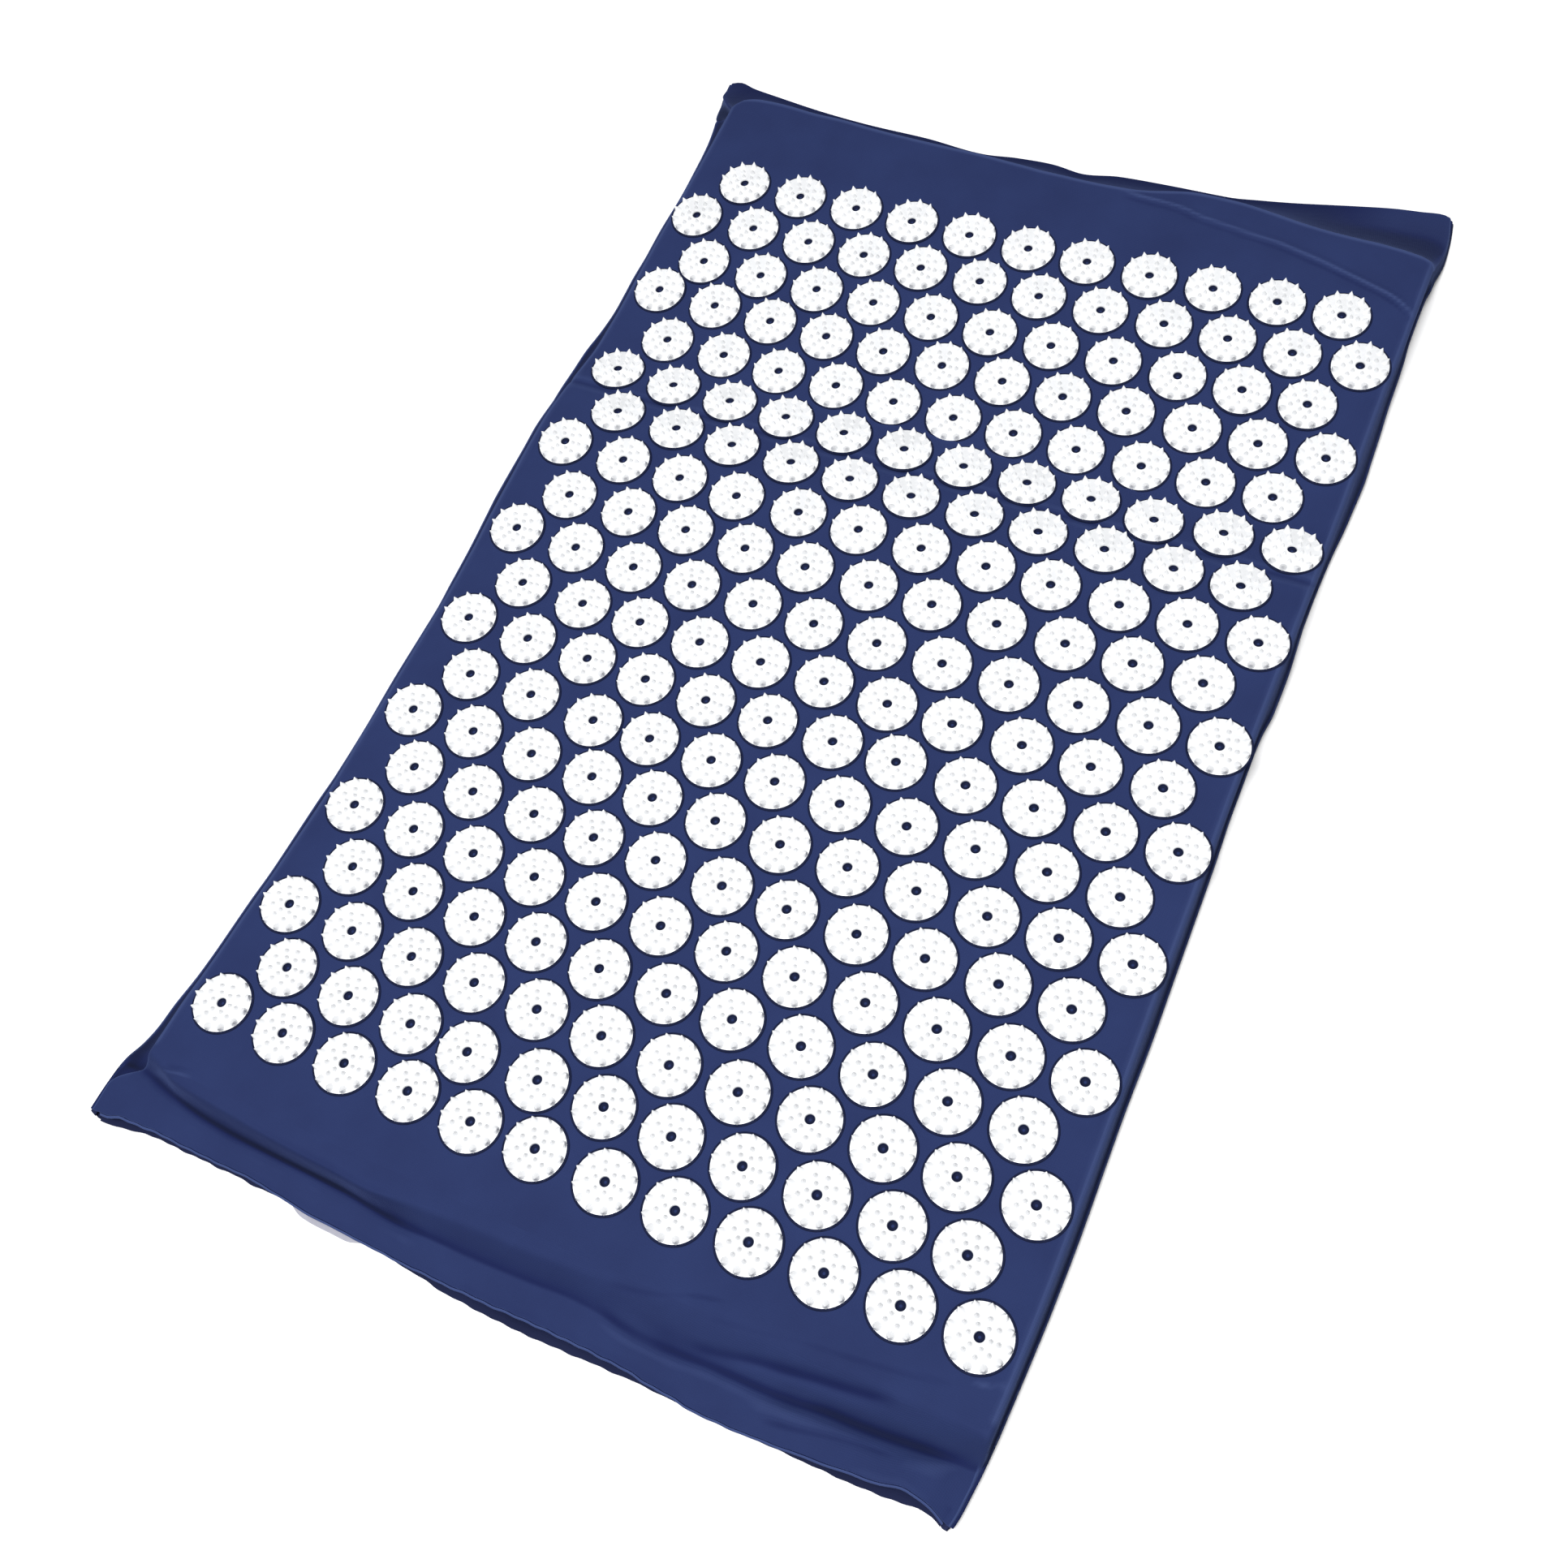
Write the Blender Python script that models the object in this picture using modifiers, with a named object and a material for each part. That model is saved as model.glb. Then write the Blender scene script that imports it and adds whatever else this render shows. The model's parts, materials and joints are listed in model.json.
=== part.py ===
"""Acupressure mat: a foam core in a two-panel cotton cover with rows of spiked plastic discs.

Metres, +Z up. The mat lies on the plane z = 0 and its frame starts at the middle of its
bounding box, on that plane. Inside this file every size is laid out from two lines of the
mat itself: x = 0 is the middle of the disc pattern and y = 0 is the fold line across the
mat. The near end (-y) is the open mouth of the cover, the far end (+y) is its closed end.
"""

import collections
import functools
import math

import bmesh
import bpy

# Foam core, with the bare bands between the outermost discs and its edges
FOAM_THICKNESS = 0.018
FOAM_EDGE_CUT = 0.0024
SIDE_BAND = 0.0031
NEAR_BAND = 0.01566
FAR_BAND = 0.03573

# Cloth, tapes and the gaps that touching pieces keep
CLOTH = 0.0008
TAPE = 0.001
LABEL_CLOTH = 0.0003
SEAT_GAP = 0.0003
FOLD_GAP = 0.0006
HINGE_GAP = 0.0006

# Discs with their rim of spikes
DISC_RADIUS = 0.0144
DISC_PLATE = 0.0012
SPIKE_RISE = 0.0026
HOLE_RADIUS = 0.0022
HOLE_FLOOR = 0.0004
SPIKE_DEPTH = 0.0032
SPIKE_SET_BACK = 0.0002
HOLE_POINTS = 6
DISC_GAP_IN_ROW = 0.0052
DISC_GAP_BETWEEN_ROWS = 0.0045
DISC_TO_FOLD = 0.0003
ROWS_FAR = 6
ROWS_NEAR = 14
LONG_ROW = 12
SHORT_ROW = 11

# How the mat lies after it was stored folded: a hump before the fold line, a valley
# behind it and a far end that stays a little raised. The shares follow the row boundaries.
FOLD_DIP = 0.001
HUMP = 0.003
VALLEY = 0.0054
END_LIFT = 0.0045
HUMP_SHARES = (1.0, 0.83, 0.5, 0.0)
VALLEY_SHARES = (1.0, 0.78, 0.28)
END_LIFT_SHARES = (0.2, 0.65, 1.0)

# Cover over the foam: the foam sits against the right side, so the left side slants out
WALL_GAP = 0.0015
SLACK_LEFT = 0.0145
SLACK_RIGHT = 0.003
SHOULDER = 0.0045
SEAM_HEIGHT = 0.005
TOE_LEFT = 0.006
TOE_RIGHT = 0.002
TOP_POINT_SHARES = (0.25, 0.5, 0.75)

# Lips of the flat bag beyond the foam, mouth at the near end and sewn seam at the far end.
# The slack cloth spreads out at the left and is drawn in at the right.
LIP_OUT_LEFT = 0.013
LIP_IN_RIGHT = 0.0075
LIP_EDGE = 0.0012
LIP_SHOULDER = 0.001
LIP_SEAM_SHARE = 0.7
LIP_TOE = 0.0015
HINGE_SET = 0.003
UPPER_REACH = 0.033
LOWER_LIP_PROUD = 0.004
END_REACH_LEFT = 0.039
END_REACH_RIGHT = 0.05
MOUTH_PROFILE_SHARES = ((0.0, 0.0), (0.14, 0.1), (0.3, 0.5), (0.44, 0.88), (0.52, 1.0), (1.0, 1.0))
END_PROFILE_SHARES = ((0.16, 0.04), (0.3, 0.45), (0.45, 0.85), (0.6, 1.0), (1.0, 1.0))

# Hems, closure tapes, seam plies and the care label
HEM_WIDTH = 0.013
HEM_INSET = 0.0006
HEM_SIDE = 0.006
TAPE_WIDTH = 0.011
TAPE_INSET = 0.0015
TAPE_END = 0.036
SEAM_PLY_WIDTH = 0.007
SEAM_PLY_INSET = 0.0046
SEAM_PLY_THICKNESS = 0.0012
SEAM_PLY_LOW = 0.0022
SEAM_PLY_HIGH = 0.0082
END_SEAM_START_SHARE = 0.7
END_SEAM_STOP_SHARE = 0.97
LABEL_WIDTH = 0.04
LABEL_LENGTH = 0.018
LABEL_REACH = 0.006
LABEL_FROM_LEFT = 0.134

# Half side of the grids that sheets and slabs are shaped from
GRID_HALF = 1.0

# Derived sizes
RIM_POINTS = 2 * HOLE_POINTS
PITCH = 2 * DISC_RADIUS + DISC_GAP_IN_ROW
ROW_STEP = math.sqrt((2 * DISC_RADIUS + DISC_GAP_BETWEEN_ROWS) ** 2 - (PITCH / 2) ** 2)
FIRST_ROW = DISC_RADIUS + DISC_TO_FOLD
FOAM_WIDTH = (LONG_ROW - 1) * PITCH + 2 * (DISC_RADIUS + SIDE_BAND)
FOAM_NEAR_LENGTH = FIRST_ROW + (ROWS_NEAR - 1) * ROW_STEP + DISC_RADIUS + NEAR_BAND
FOAM_FAR_LENGTH = FIRST_ROW + (ROWS_FAR - 1) * ROW_STEP + DISC_RADIUS + FAR_BAND
TOP = 2 * CLOTH + 2 * SEAT_GAP + FOAM_THICKNESS
BODY_LEFT = FOAM_WIDTH / 2 + SLACK_LEFT
BODY_RIGHT = FOAM_WIDTH / 2 + SLACK_RIGHT
LIP_LEFT = BODY_LEFT + LIP_OUT_LEFT
LIP_RIGHT = BODY_RIGHT - LIP_IN_RIGHT
EDGE = FOAM_WIDTH / 2 + WALL_GAP + SEAT_GAP
MOUTH_TOP = 4 * CLOTH + 2 * TAPE + LABEL_CLOTH + 6 * SEAT_GAP
END_TOP = 4 * CLOTH + 2 * SEAT_GAP
SEAM_STEP = 2 * CLOTH + SEAT_GAP
HINGE_Y = -(FOAM_NEAR_LENGTH + HINGE_SET)
UPPER_EDGE = -(FOAM_NEAR_LENGTH + UPPER_REACH)
LOWER_EDGE = UPPER_EDGE - LOWER_LIP_PROUD
LABEL_EDGE = LOWER_EDGE - LABEL_REACH
END_EDGE = FOAM_FAR_LENGTH + max(END_REACH_LEFT, END_REACH_RIGHT)
CENTRE_X = (max(BODY_RIGHT, LIP_RIGHT) - max(BODY_LEFT, LIP_LEFT)) / 2
CENTRE_Y = (END_EDGE + LABEL_EDGE) / 2

NAVY = (0.024, 0.036, 0.13)
NAVY_LINING = (0.02, 0.028, 0.1)
TAPE_NAVY = (0.015, 0.02, 0.07)
FOAM_GREY = (0.6, 0.6, 0.58)
DISC_WHITE = (0.88, 0.89, 0.9)
LABEL_WHITE = (0.75, 0.76, 0.86)

# One cross-section of the cover: its y at the left and right lip, how far it has dropped
# from the foam (0) to the flat lip (1), the height of its top face and of its underside.
Station = collections.namedtuple("Station", "y_left y_right drop top under")


def lerp(low, high, share):
    return low + (high - low) * share


# How the mat lies

def row_boundary(count):
    """Distance from the fold line to the boundary after this many rows."""
    return FIRST_ROW + (count - 0.5) * ROW_STEP if count else 0.0


def near_profile():
    """Height changes of the near section, from the fold line to the foam's near end."""
    points = [(0.0, -FOLD_DIP)]
    for count, share in enumerate(HUMP_SHARES, start=1):
        points.append((-row_boundary(count), HUMP * share))
    points.append((-FOAM_NEAR_LENGTH, 0.0))
    return points


def far_profile():
    """Height changes of the far section, from the fold line to the foam's far end."""
    points = [(0.0, -FOLD_DIP)]
    for count, share in enumerate(VALLEY_SHARES, start=1):
        points.append((row_boundary(count), -VALLEY * share))
    first = len(VALLEY_SHARES) + 1
    for count, share in enumerate(END_LIFT_SHARES, start=first):
        points.append((row_boundary(count), END_LIFT * share))
    points.append((FOAM_FAR_LENGTH, END_LIFT))
    return points


def lift(y):
    """Height change of the top face at y, straight between the profile's points."""
    points = near_profile() if y < 0 else far_profile()
    y_abs = abs(y)
    for (y_low, z_low), (y_high, z_high) in zip(points, points[1:]):
        low = abs(y_low)
        high = abs(y_high)
        if y_abs <= high:
            return lerp(z_low, z_high, (y_abs - low) / (high - low))
    return points[-1][1]


def slope(y):
    """Slope dz/dy of the flat facet that a disc row at y stands on."""
    reach = ROW_STEP / 4
    return (lift(y + reach) - lift(y - reach)) / (2 * reach)


def body_station(y):
    change = lift(y)
    return Station(y, y, 0.0, TOP + change, max(0.0, change))


def near_body_stations(first_y):
    """Stations from the fold line to first_y, beyond the foam's near end."""
    ys = [-FOLD_GAP / 2]
    ys += [y for y, _ in near_profile()[1:-1]]
    ys.append(first_y)
    return [body_station(y) for y in reversed(ys)]


def far_body_stations():
    ys = [FOLD_GAP / 2]
    ys += [y for y, _ in far_profile()[1:]]
    return [body_station(y) for y in ys]


def mouth_stations(edge):
    """Stations of the upper lip, from the hinge line to its edge."""
    first = HINGE_Y - HINGE_GAP / 2
    stations = []
    for along, drop in MOUTH_PROFILE_SHARES:
        y = lerp(first, edge, along)
        stations.append(Station(y, y, drop, lerp(TOP, MOUTH_TOP, drop), 0.0))
    return stations


def end_stations():
    """Stations of the closed end, from just beyond the foam to the sewn edge."""
    stations = []
    for along, drop in END_PROFILE_SHARES:
        y_left = FOAM_FAR_LENGTH + END_REACH_LEFT * along
        y_right = FOAM_FAR_LENGTH + END_REACH_RIGHT * along
        under = lerp(END_LIFT, 0.0, drop)
        top = lerp(TOP + END_LIFT, END_TOP, drop)
        stations.append(Station(y_left, y_right, drop, top, under))
    return stations


def station_y(station, x):
    share = (x + LIP_LEFT) / (LIP_LEFT + LIP_RIGHT)
    return lerp(station.y_left, station.y_right, min(max(share, 0.0), 1.0))


def seam_height(station, lip_top):
    return station.under + lerp(SEAM_HEIGHT, lip_top * LIP_SEAM_SHARE, station.drop)


def top_section(station, lip_top):
    """Outer face of the upper panel from its left seam over the top to its right seam."""
    left_seam = -lerp(BODY_LEFT, LIP_LEFT, station.drop)
    right_seam = lerp(BODY_RIGHT, LIP_RIGHT, station.drop)
    left_edge = -lerp(EDGE, LIP_LEFT - LIP_EDGE, station.drop)
    right_edge = lerp(EDGE, LIP_RIGHT - LIP_EDGE, station.drop)
    shoulder = lerp(SHOULDER, LIP_SHOULDER, station.drop)
    bend = shoulder * (1 - math.sqrt(0.5))
    seam = seam_height(station, lip_top)
    points = [(left_seam, seam), (left_edge, station.top - shoulder)]
    points.append((left_edge + bend, station.top - bend))
    left_flat = left_edge + shoulder
    right_flat = right_edge - shoulder
    points.append((left_flat, station.top))
    for share in TOP_POINT_SHARES:
        points.append((lerp(left_flat, right_flat, share), station.top))
    points.append((right_flat, station.top))
    points.append((right_edge - bend, station.top - bend))
    points += [(right_edge, station.top - shoulder), (right_seam, seam)]
    return [(x, station_y(station, x), z) for x, z in points]


def bottom_section(station, lip_top):
    """Outer face of the lower panel from its left seam under the mat to its right seam."""
    left_seam = -lerp(BODY_LEFT, LIP_LEFT, station.drop)
    right_seam = lerp(BODY_RIGHT, LIP_RIGHT, station.drop)
    left_toe = left_seam + lerp(TOE_LEFT, LIP_TOE, station.drop)
    right_toe = right_seam - lerp(TOE_RIGHT, LIP_TOE, station.drop)
    seam = max(seam_height(station, lip_top) - SEAM_STEP, station.under + SEAT_GAP)
    points = [(left_seam, seam), (left_toe, station.under)]
    points.append((lerp(left_toe, right_toe, 0.5), station.under))
    points += [(right_toe, station.under), (right_seam, seam)]
    return [(x, station_y(station, x), z) for x, z in points]


# Scene helpers

def clear_scene():
    for obj in list(bpy.data.objects):
        bpy.data.objects.remove(obj, do_unlink=True)


def make_collection(name):
    collection = bpy.data.collections.new(name)
    bpy.context.scene.collection.children.link(collection)
    return collection


def make_material(name, colour, roughness, metallic=0.0):
    material = bpy.data.materials.new(name)
    material.use_nodes = True
    shader = material.node_tree.nodes["Principled BSDF"]
    shader.inputs["Base Color"].default_value = (*colour, 1.0)
    shader.inputs["Roughness"].default_value = roughness
    shader.inputs["Metallic"].default_value = metallic
    return material


def make_empty(name, location, parent=None):
    empty = bpy.data.objects.new(name, None)
    empty.location = location
    empty.parent = parent
    PARTS.objects.link(empty)
    return empty


def add_object(name, bm, material, carrier, location=(0.0, 0.0, 0.0)):
    """Make an object whose place is given in the mat's own lines, carried by an empty."""
    mesh = bpy.data.meshes.new(name)
    bm.to_mesh(mesh)
    bm.free()
    mesh.materials.append(material)
    obj = bpy.data.objects.new(name, mesh)
    PARTS.objects.link(obj)
    obj.parent = carrier
    origin = CARRIER_PLACES[carrier.name]
    obj.location = [place - start for place, start in zip(location, origin)]
    return obj


# Builders

def plain_grid(columns, rows):
    """A flat square grid round the origin, to be shaped by the column and row of its vertices."""
    bm = bmesh.new()
    bmesh.ops.create_grid(bm, x_segments=columns, y_segments=rows, size=GRID_HALF)
    return bm


def grid_index(vertex, columns, rows):
    """Column and row of a vertex that still lies where plain_grid put it."""
    column = round((vertex.co.x + GRID_HALF) / (2 * GRID_HALF) * columns)
    row = round((vertex.co.y + GRID_HALF) / (2 * GRID_HALF) * rows)
    return column, row


def cloth_sheet(name, sections, material, carrier, grow):
    """A sheet of cloth lofted through sections. grow is +1 upwards or -1 downwards."""
    rows = len(sections) - 1
    columns = len(sections[0]) - 1
    bm = plain_grid(columns, rows)
    for vertex in bm.verts:
        column, row = grid_index(vertex, columns, rows)
        vertex.co = sections[row][column]
    obj = add_object(name, bm, material, carrier)
    solid = obj.modifiers.new("cloth thickness", "SOLIDIFY")
    solid.thickness = CLOTH
    solid.offset = grow
    solid.use_even_offset = True
    return obj


def slab(name, xs, layers, material, carrier):
    """A closed slab. Each layer gives y, the low face and the high face, as functions of x."""
    rows = len(layers) - 1
    columns = len(xs) - 1
    bm = plain_grid(columns, rows)
    lower = bmesh.ops.extrude_face_region(bm, geom=bm.faces[:])
    lower_verts = {item for item in lower["geom"] if isinstance(item, bmesh.types.BMVert)}
    for vertex in bm.verts:
        column, row = grid_index(vertex, columns, rows)
        x = xs[column]
        y, low, high = layers[row]
        face = low if vertex in lower_verts else high
        vertex.co = (x, y(x), face(x))
    bmesh.ops.recalc_face_normals(bm, faces=bm.faces[:])
    return add_object(name, bm, material, carrier)


def level(value):
    """A layer's value that is the same all across the mat."""
    return lambda x: value


def strip(name, xs, ys, low, high, material, carrier):
    """A flat strip between two lines square across the mat."""
    layers = [(level(y), level(low), level(high)) for y in ys]
    return slab(name, xs, layers, material, carrier)


# Foam

def foam_top(top, x):
    """Height of the foam's top face, cut along its long edges where the shoulders press."""
    return top - max(0.0, abs(x) - (FOAM_WIDTH / 2 - FOAM_EDGE_CUT))


def foam_slab(name, stations, material, carrier):
    half = FOAM_WIDTH / 2
    flat = half - FOAM_EDGE_CUT
    inset = CLOTH + SEAT_GAP
    layers = []
    for station in stations:
        high = functools.partial(foam_top, station.top - inset)
        layers.append((level(station.y_left), level(station.under + inset), high))
    return slab(name, (-half, -flat, flat, half), layers, material, carrier)


def build_foam(material):
    near = near_body_stations(-FOAM_NEAR_LENGTH)
    foam_slab("foam_core_near", near, material, MAT)
    foam_slab("foam_core_far", far_body_stations(), material, FOLD)


# Cover

def build_cover(material, lining):
    panel_near = near_body_stations(HINGE_Y + HINGE_GAP / 2)
    panel_far = far_body_stations() + end_stations()
    upper_near = [top_section(station, MOUTH_TOP) for station in panel_near]
    upper_far = [top_section(station, END_TOP) for station in panel_far]
    cloth_sheet("cover_top_near", upper_near, material, MAT, -1)
    cloth_sheet("cover_top_far", upper_far, material, FOLD, -1)

    lips = mouth_stations(UPPER_EDGE)
    edge = lips[-1]._replace(y_left=LOWER_EDGE, y_right=LOWER_EDGE)
    lower_near = [edge] + list(reversed(lips)) + panel_near[1:]
    sections = [bottom_section(station, MOUTH_TOP) for station in lower_near]
    cloth_sheet("cover_bottom_near", sections, lining, MAT, 1)
    sections = [bottom_section(station, END_TOP) for station in panel_far]
    cloth_sheet("cover_bottom_far", sections, lining, FOLD, 1)


def build_mouth_flap(material):
    sections = [top_section(station, MOUTH_TOP) for station in reversed(mouth_stations(UPPER_EDGE))]
    cloth_sheet("mouth_flap", sections, material, FLAP, -1)


def build_hems_and_tapes(cloth, hook, loop):
    hem_xs = (-(LIP_LEFT - HEM_SIDE), LIP_RIGHT - HEM_SIDE)
    tape_xs = (-(LIP_LEFT - TAPE_END), LIP_RIGHT - TAPE_END)

    hem_top = MOUTH_TOP - CLOTH - SEAT_GAP
    hem_ys = (UPPER_EDGE + HEM_INSET, UPPER_EDGE + HEM_INSET + HEM_WIDTH)
    strip("mouth_flap_hem", hem_xs, hem_ys, hem_top - CLOTH, hem_top, cloth, FLAP)

    hook_top = hem_top - CLOTH - SEAT_GAP
    tape_ys = (UPPER_EDGE + TAPE_INSET, UPPER_EDGE + TAPE_INSET + TAPE_WIDTH)
    strip("hook_tape", tape_xs, tape_ys, hook_top - TAPE, hook_top, hook, FLAP)

    hem_low = CLOTH + LABEL_CLOTH + 2 * SEAT_GAP
    hem_ys = (LOWER_EDGE + HEM_INSET, UPPER_EDGE + HEM_INSET + HEM_WIDTH)
    strip("mouth_lower_hem", hem_xs, hem_ys, hem_low, hem_low + CLOTH, cloth, MAT)

    loop_low = hem_low + CLOTH + SEAT_GAP
    strip("loop_tape", tape_xs, tape_ys, loop_low, loop_low + TAPE, loop, MAT)


def build_label(material):
    middle = LABEL_FROM_LEFT - LIP_LEFT
    xs = (middle - LABEL_WIDTH / 2, middle + LABEL_WIDTH / 2)
    ys = (LABEL_EDGE, LABEL_EDGE + LABEL_LENGTH)
    low = CLOTH + SEAT_GAP
    strip("care_label", xs, ys, low, low + LABEL_CLOTH, material, MAT)


def build_seams(material):
    """The two plies of each seam, turned in beside the foam."""
    left_in = -(BODY_LEFT - SEAM_PLY_INSET)
    left_xs = (left_in, left_in + SEAM_PLY_WIDTH)
    right_in = FOAM_WIDTH / 2 + SEAT_GAP
    right_xs = (right_in, right_in + CLOTH)
    sections = (("near", near_body_stations(-FOAM_NEAR_LENGTH), MAT), ("far", far_body_stations(), FOLD))
    for end, stations, carrier in sections:
        left = []
        right = []
        for station in stations:
            middle = station.under + SEAM_HEIGHT
            y = level(station.y_left)
            low = level(middle - SEAM_PLY_THICKNESS / 2)
            high = level(middle + SEAM_PLY_THICKNESS / 2)
            left.append((y, low, high))
            low = level(station.under + SEAM_PLY_LOW)
            high = level(station.under + SEAM_PLY_HIGH)
            right.append((y, low, high))
        slab("side_seam_left_" + end, left_xs, left, material, carrier)
        slab("side_seam_right_" + end, right_xs, right, material, carrier)

    low = CLOTH + SEAT_GAP
    layers = []
    for share in (END_SEAM_START_SHARE, END_SEAM_STOP_SHARE):
        y_left = FOAM_FAR_LENGTH + END_REACH_LEFT * share
        y_right = FOAM_FAR_LENGTH + END_REACH_RIGHT * share
        station = Station(y_left, y_right, 1.0, END_TOP, 0.0)
        y = functools.partial(station_y, station)
        layers.append((y, level(low), level(low + 2 * CLOTH)))
    xs = (-(LIP_LEFT - HEM_SIDE), LIP_RIGHT - HEM_SIDE)
    slab("end_seam", xs, layers, material, FOLD)


# Disc rows

def vertex_at(bm, x, radius, angle, height):
    return bm.verts.new((x + radius * math.cos(angle), radius * math.sin(angle), height))


def ring(bm, x, radius, points, height):
    """A ring of vertices round x, the first half a step past the +X direction."""
    return [vertex_at(bm, x, radius, 2 * math.pi * (index + 0.5) / points, height) for index in range(points)]


def add_spike(bm, x, edge, corners):
    """A spike on one edge of the rim, over a triangle of the plate."""
    edge_radius = DISC_RADIUS * math.cos(math.pi / RIM_POINTS)
    angle = 2 * math.pi * (edge + 1) / RIM_POINTS
    tip = vertex_at(bm, x, edge_radius - SPIKE_SET_BACK, angle, DISC_PLATE + SPIKE_RISE)
    for one, two in zip(corners, corners[1:] + corners[:1]):
        bm.faces.new((one, two, tip))


def add_spike_pair(bm, x, rim, first):
    """Spikes on two edges of the rim that share a foot on the plate. Returns the foot."""
    middle = first + 1
    foot_radius = DISC_RADIUS * math.cos(math.pi / RIM_POINTS) - SPIKE_DEPTH
    foot = vertex_at(bm, x, foot_radius, 2 * math.pi * (middle + 0.5) / RIM_POINTS, DISC_PLATE)
    add_spike(bm, x, first, [rim[first], rim[middle], foot])
    add_spike(bm, x, middle, [rim[middle], rim[(middle + 1) % RIM_POINTS], foot])
    return foot


def add_disc(bm, x, left_neighbour, right_neighbour):
    """One disc: a flat plate with a spike on each edge of its rim and a blind hole.
    Returns its rings."""
    base = ring(bm, x, DISC_RADIUS, RIM_POINTS, 0.0)
    rim = ring(bm, x, DISC_RADIUS, RIM_POINTS, DISC_PLATE)
    hole = ring(bm, x, HOLE_RADIUS, HOLE_POINTS, DISC_PLATE)
    floor = bm.verts.new((x, 0.0, HOLE_FLOOR))
    bm.faces.new(list(reversed(base)))
    for index in range(RIM_POINTS):
        after = (index + 1) % RIM_POINTS
        joins_right = right_neighbour and index == RIM_POINTS - 1
        joins_left = left_neighbour and index == RIM_POINTS // 2 - 1
        if not joins_right and not joins_left:
            bm.faces.new((base[index], base[after], rim[after], rim[index]))
    for index in range(HOLE_POINTS):
        after = (index + 1) % HOLE_POINTS
        foot = add_spike_pair(bm, x, rim, 2 * index)
        bm.faces.new((rim[2 * index], foot, hole[index]))
        bm.faces.new((foot, rim[2 * index + 2 - RIM_POINTS], hole[after]))
        bm.faces.new((foot, hole[after], hole[index]))
        bm.faces.new((hole[index], hole[after], floor))
    return base, rim


def rosette_row(name, count, y, material, carrier):
    """One row of discs, joined by the narrow web that stands for the glue line."""
    bm = bmesh.new()
    previous = None
    for index in range(count):
        x = (index - (count - 1) / 2) * PITCH
        base, rim = add_disc(bm, x, index > 0, index < count - 1)
        if previous:
            last_base, last_rim = previous
            right = (last_base[-1], last_base[0], last_rim[0], last_rim[-1])
            half = RIM_POINTS // 2
            left = (base[half], base[half - 1], rim[half - 1], rim[half])
            for corner in range(4):
                after = (corner + 1) % 4
                bm.faces.new((right[corner], right[after], left[after], left[corner]))
        previous = (base, rim)
    bmesh.ops.recalc_face_normals(bm, faces=bm.faces[:])
    tilt = math.atan(slope(y))
    height = TOP + lift(y) + SEAT_GAP * math.cos(tilt)
    place = (0.0, y - SEAT_GAP * math.sin(tilt), height)
    obj = add_object(name, bm, material, carrier, place)
    obj.rotation_euler.x = tilt
    return obj


def row_y(row):
    """Row 1 is the farthest row; the fold line lies behind the first near row."""
    if row <= ROWS_FAR:
        return FIRST_ROW + (ROWS_FAR - row) * ROW_STEP
    return -FIRST_ROW - (row - ROWS_FAR - 1) * ROW_STEP


def tip_height(row):
    y = row_y(row)
    tilt = math.atan(slope(y))
    stack = SEAT_GAP + DISC_PLATE + SPIKE_RISE
    return TOP + lift(y) + stack * math.cos(tilt) + DISC_RADIUS * abs(math.sin(tilt))


def fold_height():
    """Height of the fold's axis: folded over, each far row just clears its near row."""
    pairs = []
    for offset in range(ROWS_FAR):
        near_tip = tip_height(ROWS_FAR + 1 + offset)
        far_tip = tip_height(ROWS_FAR - offset)
        pairs.append((near_tip + far_tip) / 2)
    return max(pairs) + SEAT_GAP


def build_rows(material):
    for row in range(1, ROWS_FAR + ROWS_NEAR + 1):
        count = SHORT_ROW if row % 2 else LONG_ROW
        carrier = FOLD if row <= ROWS_FAR else MAT
        rosette_row(f"rosette_row_{row:02d}", count, row_y(row), material, carrier)


# The mat

clear_scene()
PARTS = make_collection("acupressure_mat")

FOLD_PLACE = (0.0, 0.0, fold_height())
FLAP_PLACE = (0.0, HINGE_Y, TOP)
MAT = make_empty("mat_origin", (-CENTRE_X, -CENTRE_Y, 0.0))
FOLD = make_empty("fold_axis", FOLD_PLACE, MAT)
FLAP = make_empty("mouth_axis", FLAP_PLACE, MAT)
CARRIER_PLACES = {MAT.name: (0.0, 0.0, 0.0), FOLD.name: FOLD_PLACE, FLAP.name: FLAP_PLACE}

foam = make_material("foam", FOAM_GREY, 0.9)
cotton = make_material("navy cotton", NAVY, 0.85)
cotton_lining = make_material("navy cotton, lower panel", NAVY_LINING, 0.88)
seam_cotton = make_material("navy cotton, seam plies", NAVY_LINING, 0.9)
hook_nylon = make_material("hook tape", TAPE_NAVY, 0.6)
loop_nylon = make_material("loop tape", TAPE_NAVY, 0.8)
label_satin = make_material("label cloth", LABEL_WHITE, 0.6)
disc_plastic = make_material("disc plastic", DISC_WHITE, 0.3)

build_foam(foam)
build_cover(cotton, cotton_lining)
build_mouth_flap(cotton)
build_hems_and_tapes(cotton, hook_nylon, loop_nylon)
build_label(label_satin)
build_seams(seam_cotton)
build_rows(disc_plastic)
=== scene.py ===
"""Looks of the acupressure mat: soft cover, foam, tapes and 230 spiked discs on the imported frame.

Metres, +Z up. Shapes are laid out from two lines of the mat itself: x = 0 is the middle of
the disc pattern and y = 0 is the fold line. The near end (-y) is the open mouth of the
cover, the far end (+y) is its closed end. Meshes are moved into the row frame when made.
"""

import json
import math

import bpy
import numpy as np
from mathutils import Matrix, Vector


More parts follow.
